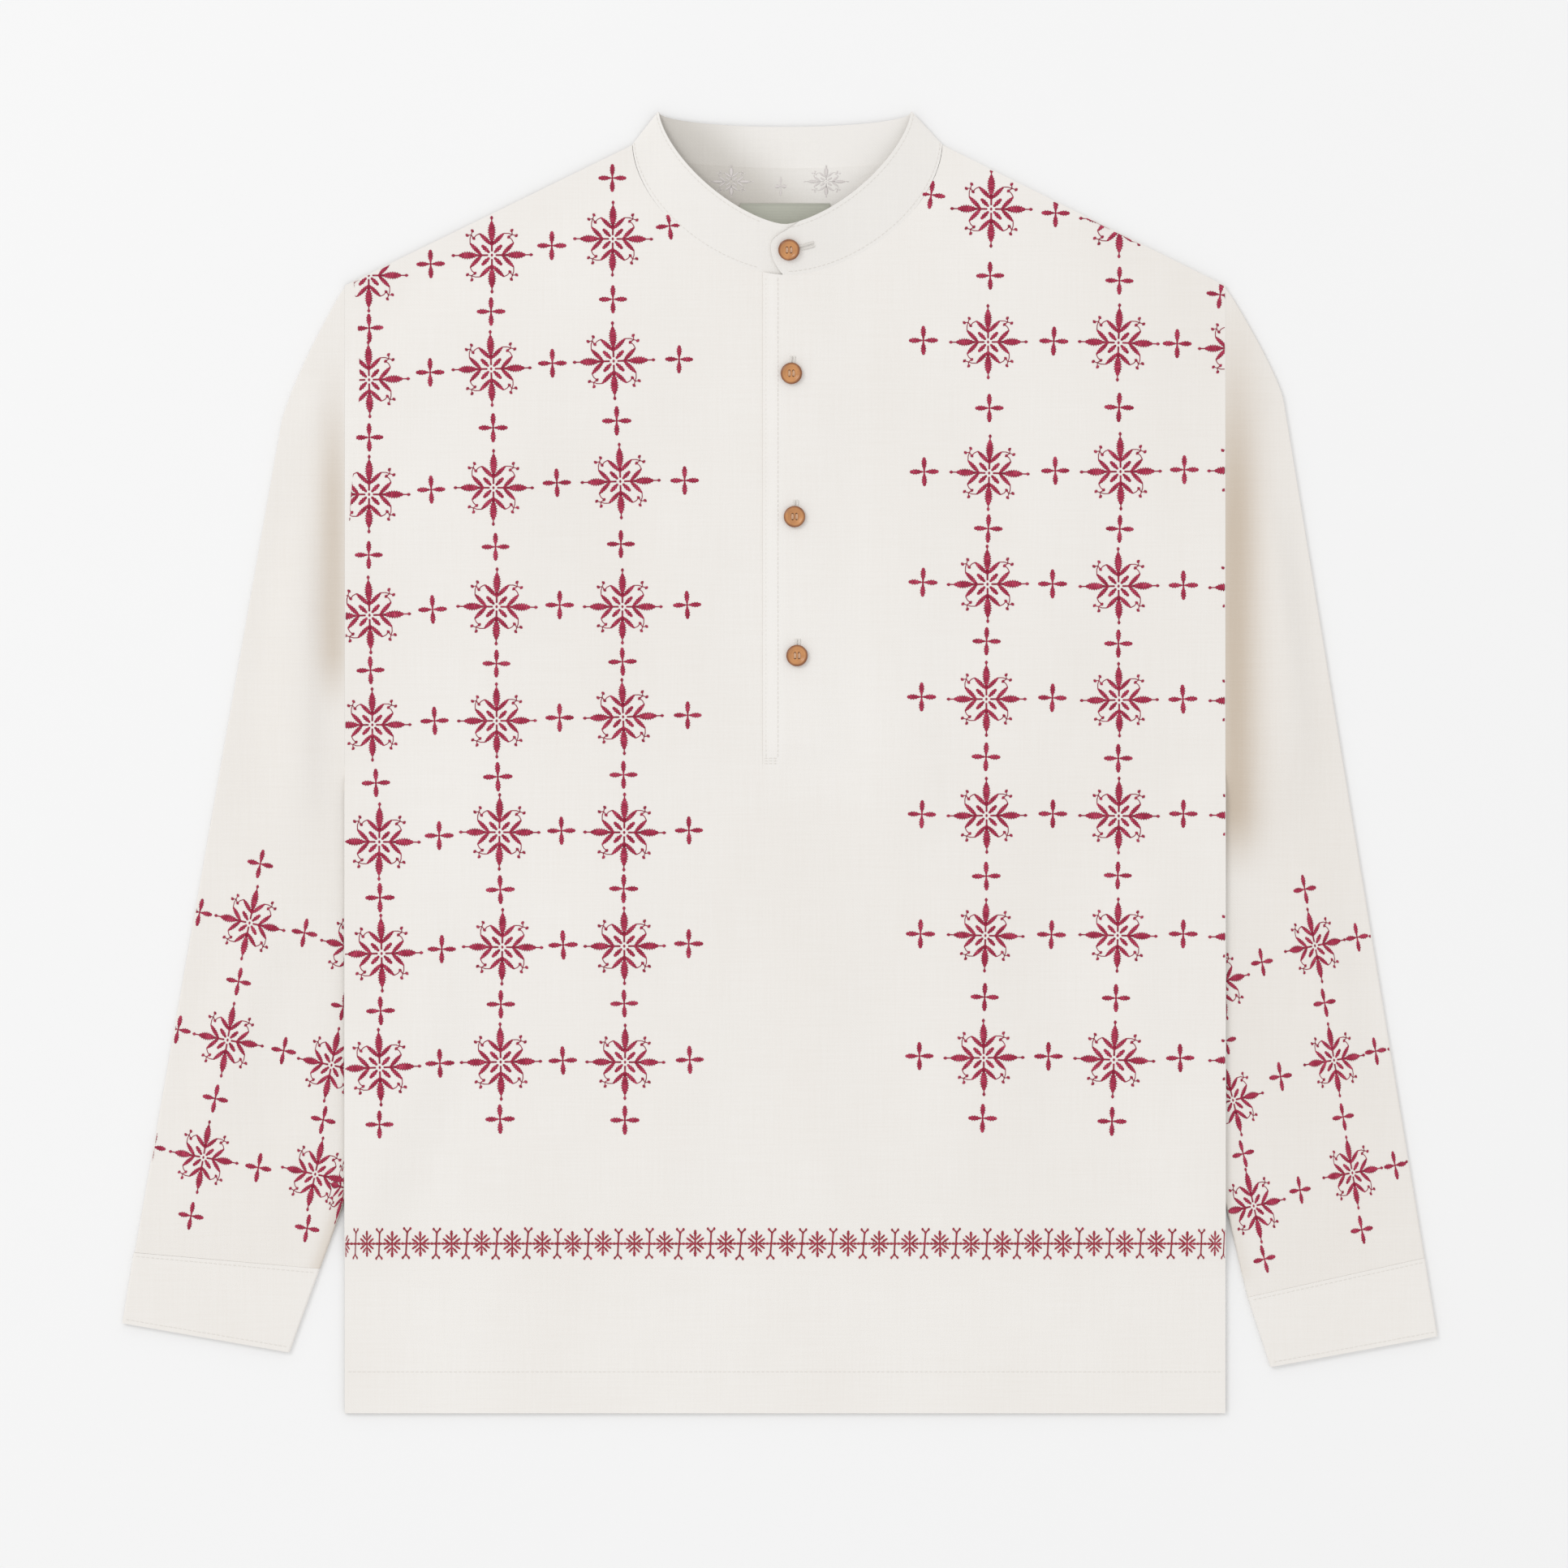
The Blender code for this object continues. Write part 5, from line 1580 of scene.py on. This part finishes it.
def make_body_embroidery(look):
    """Stars and crosses of the front, one piece of each for each side."""
    thread = satin_finish("embroidery_thread", look.thread, look.thread_painted_shade, look.thread_painted_highlight)
    for number, side in enumerate(BENT_CROSSES):
        stars, crosses = body_spots(side)
        stars, crosses = jitter(stars, number), jitter(crosses, number + 10)
        stars[:, 3] *= look.star_reach / STAR_REACH
        crosses[:, 3] *= look.cross_reach / CROSS_REACH
        embroider("stars_" + side, star_motif(), stars, FRONT_SURFACE, thread, look.height)
        embroider("crosses_" + side, cross_motif(), crosses, FRONT_SURFACE, thread, look.height)


def make_sleeve_embroidery(look):
    """Stars and crosses of both sleeves."""
    thread = satin_finish("sleeve_thread", look.thread, look.thread_painted_shade, look.thread_painted_highlight)
    for number, (side, sleeve) in enumerate(SLEEVES.items()):
        stars, crosses = (jitter(spots, 20 + number) for spots in sleeve_spots(side))
        surface = sleeve_surface(sleeve)
        embroider("sleeve_stars_" + side, star_motif(), stars, surface, thread, look.height)
        embroider("sleeve_crosses_" + side, cross_motif(), crosses, surface, thread, look.height)


# Border figures, counted from the one at BORDER_ZERO: the pitch grows a little to the right, and
# close to both sides the cloth turns away and draws the figures together
BORDER_ZERO = -198.4
BORDER_PITCH = 18.35
BORDER_GROWTH = 0.0061
BORDER_TURN_LEFT = 1.05
BORDER_TURN_RIGHT = 1.9
BORDER_NUMBERS = (-4, 26)
CHAIN_STEP = 2.2 * MM
CHAIN_MARGIN = 2.0 * MM
BORDER_PAINTED_SHADE_SHARE = 0.55


def border_spots():
    """Place and narrowing of every border figure, with those of the bars between them."""
    number = np.arange(BORDER_NUMBERS[0], BORDER_NUMBERS[1] + 1)
    left, right = np.maximum(-1 - number, 0), np.maximum(number - 24, 0)
    x = BORDER_ZERO + BORDER_PITCH * number + BORDER_GROWTH * number ** 2
    x = x + BORDER_TURN_LEFT * left ** 2 - BORDER_TURN_RIGHT * right ** 2.4
    narrow = 1.0 - 0.06 * left ** 2 - 0.25 * right
    still = np.zeros(x.shape)
    flakes = np.column_stack([x * MM, still + BORDER_Y, still, still + 1.0, narrow])
    return flakes, (flakes[:-1] + flakes[1:]) / 2


def make_border(look):
    """Hem border: upright figures, forked bars between them and a knotted chain through all."""
    # Painted shade between the border's stitches
    dark = darker(look.border_thread, BORDER_PAINTED_SHADE_SHARE)
    thread = satin_finish("border_thread", look.border_thread, dark, look.thread_painted_highlight)
    flakes, bars = border_spots()
    links = np.arange(BODY_LEFT + CHAIN_MARGIN, BODY_RIGHT - CHAIN_MARGIN, CHAIN_STEP)
    chain = np.zeros((len(links), 5)) + (0.0, BORDER_Y, 0.0, 1.0, 1.0)
    chain[:, 0] = links
    link = [satin_leaf((-1.3, 0.0), (1.3, 0.0), 1.95, pitch=0.65)]
    for name, motif, spots in (("border_flakes", flake_motif(), jitter(flakes, 31)),
                               ("border_bars", bar_motif(), jitter(bars, 32)),
                               ("border_chain", link, chain)):
        embroider(name, motif, spots, FRONT_SURFACE, thread, look.height)


# Motifs of the back that show through inside the neck: places, and turn, size and narrowing
SHOW_THROUGH_STARS = dict(places=[(-29.4, 350.6), (27.9, 350.6)], shape=(0.0, 0.42, 1.35))
SHOW_THROUGH_CROSSES = dict(places=[(0.5, 347.7)], shape=(0.0, 0.68, 0.6))
SHOW_THROUGH_HEIGHT = 0.015 * MM


def make_show_through(look):
    """Faint motifs inside the back of the neck, nearly flat."""
    surface = (lambda x, y: np.full(x.shape, WALL), lambda x, y: x < BODY_RIGHT, lambda x, y: (x, y))
    points, faces, count = [], [], 0
    for motif, row in ((star_motif(), SHOW_THROUGH_STARS), (cross_motif(), SHOW_THROUGH_CROSSES)):
        spots = np.array([(x * MM, y * MM, *row["shape"]) for x, y in row["places"]])
        laid, blocks, _ = lay_motif(motif, spots, *surface, SHOW_THROUGH_HEIGHT)
        points.append(laid)
        faces += [block + count for block in blocks]
        count += len(laid)
    add_piece("back_show_through", (np.vstack(points), faces),
              thread_finish("show_through", look.show_through))


# Stage

CAMERA_AIM = (2.45 * MM, -13.0 * MM)
SENSOR = 36.0
KEY_PLACE = (-3.4, 2.6, 4.6)
KEY_SIZE = 2.2
FLOOR_HALF = 15.0
FLOOR_Z = -0.2 * MM


def make_stage(look):
    """Pale floor, even light, one large soft light from the upper left and the camera above."""
    scene = bpy.context.scene
    mesh = bpy.data.meshes.new("floor")
    corners = [(x * FLOOR_HALF, y * FLOOR_HALF, FLOOR_Z) for y in (1, -1) for x in (-1, 1)]
    mesh.from_pydata(corners, [], [[0, 2, 3, 1]])
    mesh.materials.append(floor_finish("pale_floor", look.floor))
    place_object("floor", mesh)
    world = bpy.data.worlds.new("even_light")
    world.use_nodes = True
    background = world.node_tree.nodes["Background"]
    background.inputs["Color"].default_value = (1, 1, 1, 1)
    background.inputs["Strength"].default_value = look.sky
    scene.world = world
    lamp = bpy.data.lights.new("soft_key", "AREA")
    lamp.energy, lamp.size = look.key, KEY_SIZE
    key = place_object("soft_key", lamp)
    key.location = KEY_PLACE
    key.rotation_euler = (-Vector(KEY_PLACE)).to_track_quat("-Z", "Y").to_euler()
    lens = bpy.data.cameras.new("camera")
    lens.sensor_width = SENSOR
    lens.lens = SENSOR * look.camera_height / look.view_width
    camera = place_object("camera", lens)
    camera.location = (*CAMERA_AIM, look.camera_height)
    scene.camera = camera
    scene.view_settings.view_transform = "Standard"


# Operators

# Width of the placket strip's cut
STRIP_CUT = 27.0 * MM


class SHIRT_OT_stage(bpy.types.Operator):
    """Lay the floor and set the light and the camera"""
    bl_idname = "shirt.stage"
    bl_label = "Stage"

    def execute(self, context):
        make_stage(context.scene.shirt_stage)
        return {"FINISHED"}


class SHIRT_OT_body(bpy.types.Operator):
    """Build the front, the back and the placket's strip"""
    bl_idname = "shirt.body"
    bl_label = "Body"

    def execute(self, context):
        look = context.scene.shirt_cloth
        front, front_area = make_front(look)
        back, back_area = make_back(look)
        strip, strip_area = make_placket_strip(look)
        strip_area / STRIP_CUT
        return {"FINISHED"}


class SHIRT_OT_sleeves(bpy.types.Operator):
    """Build both sleeves and their cuffs"""
    bl_idname = "shirt.sleeves"
    bl_label = "Sleeves"

    def execute(self, context):
        for key in SLEEVES:
            sleeve, area = make_sleeve(key, context.scene.shirt_cloth)
            cuff = make_cuff(key, context.scene.shirt_cloth)
        return {"FINISHED"}


class SHIRT_OT_collar(bpy.types.Operator):
    """Build the band collar, the bare label inside it and what shows through behind it"""
    bl_idname = "shirt.collar"
    bl_label = "Collar"

    def execute(self, context):
        collar, area = make_collar(context.scene.shirt_cloth)
        area / COLLAR_CUT
        label, area = make_label(context.scene.shirt_cloth)
        make_show_through(context.scene.shirt_cloth)
        return {"FINISHED"}


class SHIRT_OT_buttons(bpy.types.Operator):
    """Turn the four buttons and seat them"""
    bl_idname = "shirt.buttons"
    bl_label = "Buttons"

    def execute(self, context):
        for button, seat in zip(BUTTONS, button_seats()):
            make_button(button["name"], *seat, context.scene.shirt_buttons)
        return {"FINISHED"}


class SHIRT_OT_stitching(bpy.types.Operator):
    """Sew the seams, the buttonholes and the buttons"""
    bl_idname = "shirt.stitching"
    bl_label = "Stitching"

    def execute(self, context):
        make_stitching(context.scene.shirt_buttons)
        return {"FINISHED"}


class SHIRT_OT_embroidery(bpy.types.Operator):
    """Embroider the front, the sleeves and the hem border"""
    bl_idname = "shirt.embroidery"
    bl_label = "Embroidery"

    def execute(self, context):
        look = context.scene.shirt_embroidery
        make_body_embroidery(look)
        make_sleeve_embroidery(look)
        make_border(look)
        return {"FINISHED"}


OPERATORS = [SHIRT_OT_stage, SHIRT_OT_body, SHIRT_OT_sleeves, SHIRT_OT_collar, SHIRT_OT_buttons,
             SHIRT_OT_stitching, SHIRT_OT_embroidery]
SETTINGS = {
    "shirt_cloth": ShirtClothSettings,
    "shirt_embroidery": ShirtEmbroiderySettings,
    "shirt_buttons": ShirtButtonSettings,
    "shirt_stage": ShirtStageSettings,
}


class SHIRT_PT_panel(bpy.types.Panel):
    """Sizes, colours and steps of the shirt"""
    bl_label = "Linen shirt"
    bl_idname = "SHIRT_PT_panel"
    bl_space_type = "VIEW_3D"
    bl_region_type = "UI"
    bl_category = "Shirt"

    def draw(self, context):
        for key, group in SETTINGS.items():
            for name in group.__annotations__:
                self.layout.prop(getattr(context.scene, key), name)
        for operator in OPERATORS:
            self.layout.operator(operator.bl_idname)


def register():
    """Register every class and hang the settings on the scene."""
    for group in SETTINGS.values():
        bpy.utils.register_class(group)
    for item in (*OPERATORS, SHIRT_PT_panel):
        bpy.utils.register_class(item)
    for key, group in SETTINGS.items():
        setattr(bpy.types.Scene, key, bpy.props.PointerProperty(type=group))


def unregister():
    """Undo register."""
    for key in SETTINGS:
        delattr(bpy.types.Scene, key)
    for item in (SHIRT_PT_panel, *reversed(OPERATORS), *reversed(list(SETTINGS.values()))):
        bpy.utils.unregister_class(item)


def main():
    """Build every piece in order."""
    register()
    for operator in OPERATORS:
        getattr(bpy.ops.shirt, operator.bl_idname.split(".")[1])()
    bpy.context.view_layer.update()
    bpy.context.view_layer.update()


if __name__ == "__main__":
    main()
